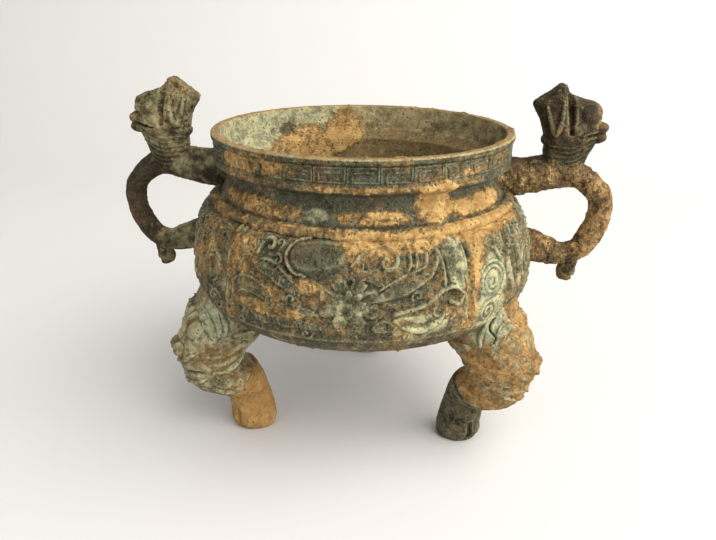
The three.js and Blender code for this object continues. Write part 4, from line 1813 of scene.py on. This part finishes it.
    def curl_points(self) -> np.ndarray:
        """The hanging scroll: a short bar that winds up into a knob.

        Returns:
            Rows by columns of places.
        """
        path = [
            (self.curl_x + 0.6, self.root_z - 2.5, 3.0, 3.0),
            (self.curl_x + 0.4, self.curl_z + 4.5, 2.9, 2.9),
            (self.curl_x - 0.6, self.curl_z + 0.4, 3.6, 3.4),
            (self.curl_x + 0.2, self.curl_z - 2.2, 1.6, 2.6),
        ]
        return self.bar(path, self.curl_rows, self.curl_columns)

    def head_lumps(self) -> list[np.ndarray]:
        """Lower jaw, upper jaw, brow and the knot at the nape.

        Returns:
            Rows by columns of places for each.
        """
        foot, inner, outer = self.head_z, self.head_inner, self.head_outer
        return [
            self.lump((outer + 3.8, 0, foot + 11.0), (3.2, 4.2, 2.4)),
            self.lump((outer + 4.0, 0, foot + 14.2), (3.2, 4.4, 2.2)),
            self.lump((outer - 1.6, 0, foot + 19.2), (5.8, self.head_half + 0.8, 5.0)),
            self.lump((inner + 2.4, 0, foot + 9.4), (2.6, 4.6, 2.4)),
        ]

    def build(self, name: str, turn: float, burial: Burial) -> bpy.types.Object:
        """Casts one handle and turns it to its side.

        Args:
            name: name of the piece.
            turn: degrees about the axis.
            burial: soil and verdigris of the head and of the ring.

        Returns:
            The finished piece.
        """
        head = self.head_points()
        flank = ramp(np.abs(head[..., 1]), 1.6, 2.0)
        carved = raised(head[..., 0], head[..., 2], self.head_strokes()) * flank
        shells = [self.soiled(head, carved, burial)]
        for points in [self.ring_points(), self.curl_points(), *self.head_lumps()]:
            shells.append(self.soiled(points, np.zeros(points.shape[:2]), burial))
        seed = turn / 40 + 2
        values = self.surface.inputs(seed, self.skin)
        parts = [self.foundry.run(shell.mesh(name, turn), self.foundry.cast, values) for shell in shells]
        return self.foundry.finish(name, parts)


@dataclass(frozen=True)
class Lamp:
    """One soft square lamp: where it hangs and aims in metres, its side, power and light."""

    name: str
    place: tuple[float, float, float]
    aim: tuple[float, float, float]
    size: float
    watts: float
    colour: tuple[float, float, float]

    def hang(self) -> None:
        """Puts the lamp into the scene."""
        light = bpy.data.lights.new(self.name, "AREA")
        light.size = self.size
        light.energy = self.watts
        light.color = self.colour
        lamp = bpy.data.objects.new(self.name, light)
        lamp.location = self.place
        lamp.rotation_euler = (Vector(self.aim) - Vector(self.place)).to_track_quat("-Z", "Y").to_euler()
        bpy.context.scene.collection.objects.link(lamp)


VESSEL_MIDDLE = (0, 0, 0.07)
WINDOW = Lamp("window", (0.85, -0.45, 0.80), VESSEL_MIDDLE, 1.8, 43.0, (1.0, 0.970, 0.915))
FILL = Lamp("fill", (-0.7, -0.8, 0.6), VESSEL_MIDDLE, 0.8, 1.2, (0.97, 0.98, 1.0))


@dataclass
class Studio:
    """Pale sweep in metres, soft lights and the camera at the photograph's angle."""

    rim_z: float
    lens_px: float = 700.0
    picture_px: float = 716.0
    distance: float = 265.5
    above_rim: float = 46.83
    aside: float = 1.36
    pitch: float = 21.57
    roll: float = 0.50
    yaw: float = 5.0
    sensor_width: float = 36.0
    clip_start: float = 0.01
    sweep_half: float = 3.0
    sweep_front: float = -1.6
    bend_start: float = 0.35
    bend_radius: float = 0.4
    bend_steps: int = 16
    sweep_top: float = 2.4
    paper_colour: tuple[float, float, float, float] = (0.61, 0.60, 0.588, 1.0)
    paper_roughness: float = 0.9
    room_colour: tuple[float, float, float, float] = (0.98, 0.98, 1.0, 1.0)
    room_strength: float = 0.54

    def sweep(self) -> None:
        """Floor that curves up into a backdrop."""
        rows = [(self.sweep_front, 0.0), (self.bend_start, 0.0)]
        for angle in np.linspace(0.1, math.pi / 2, self.bend_steps):
            back = self.bend_start + self.bend_radius * math.sin(angle)
            rows.append((back, self.bend_radius - self.bend_radius * math.cos(angle)))
        rows.append((self.bend_start + self.bend_radius, self.sweep_top))
        places = [(x, y, z) for y, z in rows for x in (-self.sweep_half, self.sweep_half)]
        faces = [(2 * i, 2 * i + 1, 2 * i + 3, 2 * i + 2) for i in range(len(rows) - 1)]
        mesh = bpy.data.meshes.new("sweep")
        mesh.from_pydata(places, [], faces)
        mesh.polygons.foreach_set("use_smooth", [True] * len(mesh.polygons))
        paper = bpy.data.materials.new("paper")
        paper.use_nodes = True
        shader = paper.node_tree.nodes["Principled BSDF"]
        shader.inputs["Base Color"].default_value = self.paper_colour
        shader.inputs["Roughness"].default_value = self.paper_roughness
        mesh.materials.append(paper)
        floor = bpy.data.objects.new("sweep", mesh)
        bpy.context.scene.collection.objects.link(floor)

    def light(self) -> None:
        """Window light from the right and front, a weak fill and a pale room."""
        WINDOW.hang()
        FILL.hang()
        world = bpy.data.worlds.new("room")
        world.use_nodes = True
        back = world.node_tree.nodes["Background"]
        back.inputs["Color"].default_value = self.room_colour
        back.inputs["Strength"].default_value = self.room_strength
        bpy.context.scene.world = world
        bpy.context.scene.view_settings.view_transform = "Standard"

    def camera(self) -> None:
        """Camera found from the rings of lip, neck and shoulder."""
        data = bpy.data.cameras.new("camera")
        data.sensor_width = self.sensor_width
        data.lens = self.lens_px * self.sensor_width / self.picture_px
        data.clip_start = self.clip_start
        camera = bpy.data.objects.new("camera", data)
        bpy.context.scene.collection.objects.link(camera)
        yaw = Matrix.Rotation(math.radians(self.yaw), 4, "Z")
        place = yaw @ Vector((-self.aside, -self.distance, self.above_rim))
        place += Vector((0, AXIS_Y, self.rim_z))
        tilt = Matrix.Rotation(math.radians(90 - self.pitch), 4, "X")
        bank = Matrix.Rotation(math.radians(self.roll), 4, "Z")
        camera.matrix_world = Matrix.Translation(place * MM) @ yaw @ tilt @ bank
        bpy.context.scene.camera = camera

    def build(self) -> None:
        """Sets up floor, lights and camera."""
        self.sweep()
        self.light()
        self.camera()


def main() -> None:
    """Builds the vessel piece by piece, reports each, then sets up the studio."""
    logging.basicConfig(level=logging.INFO, format="%(name)s: %(message)s")
    foundry = Foundry(cast_tree(), fret_tree())
    group = patina_group()
    bowl = Bowl(foundry, patina_material(BOWL_PATINA, group))
    leg = Leg(foundry, patina_material(LEG_PATINA, group), bowl)
    handle = Handle(foundry, patina_material(HANDLE_PATINA, group))
    pieces = bowl.build()
    for azimuth, (name, burial) in zip(LEG_AZIMUTHS, LEG_BURIALS.items()):
        pieces.append(leg.build(name, azimuth, burial))
    for turn, (name, burial) in zip(HANDLE_TURNS, HANDLE_BURIALS.items()):
        pieces.append(handle.build(name, turn, burial))
    for piece in pieces:
        triangles = sum(len(face.vertices) - 2 for face in piece.data.polygons)
        LOG.info("%s: %d triangles", piece.name, triangles)
    Studio(bowl.rim_z).build()


if __name__ == "__main__":
    main()
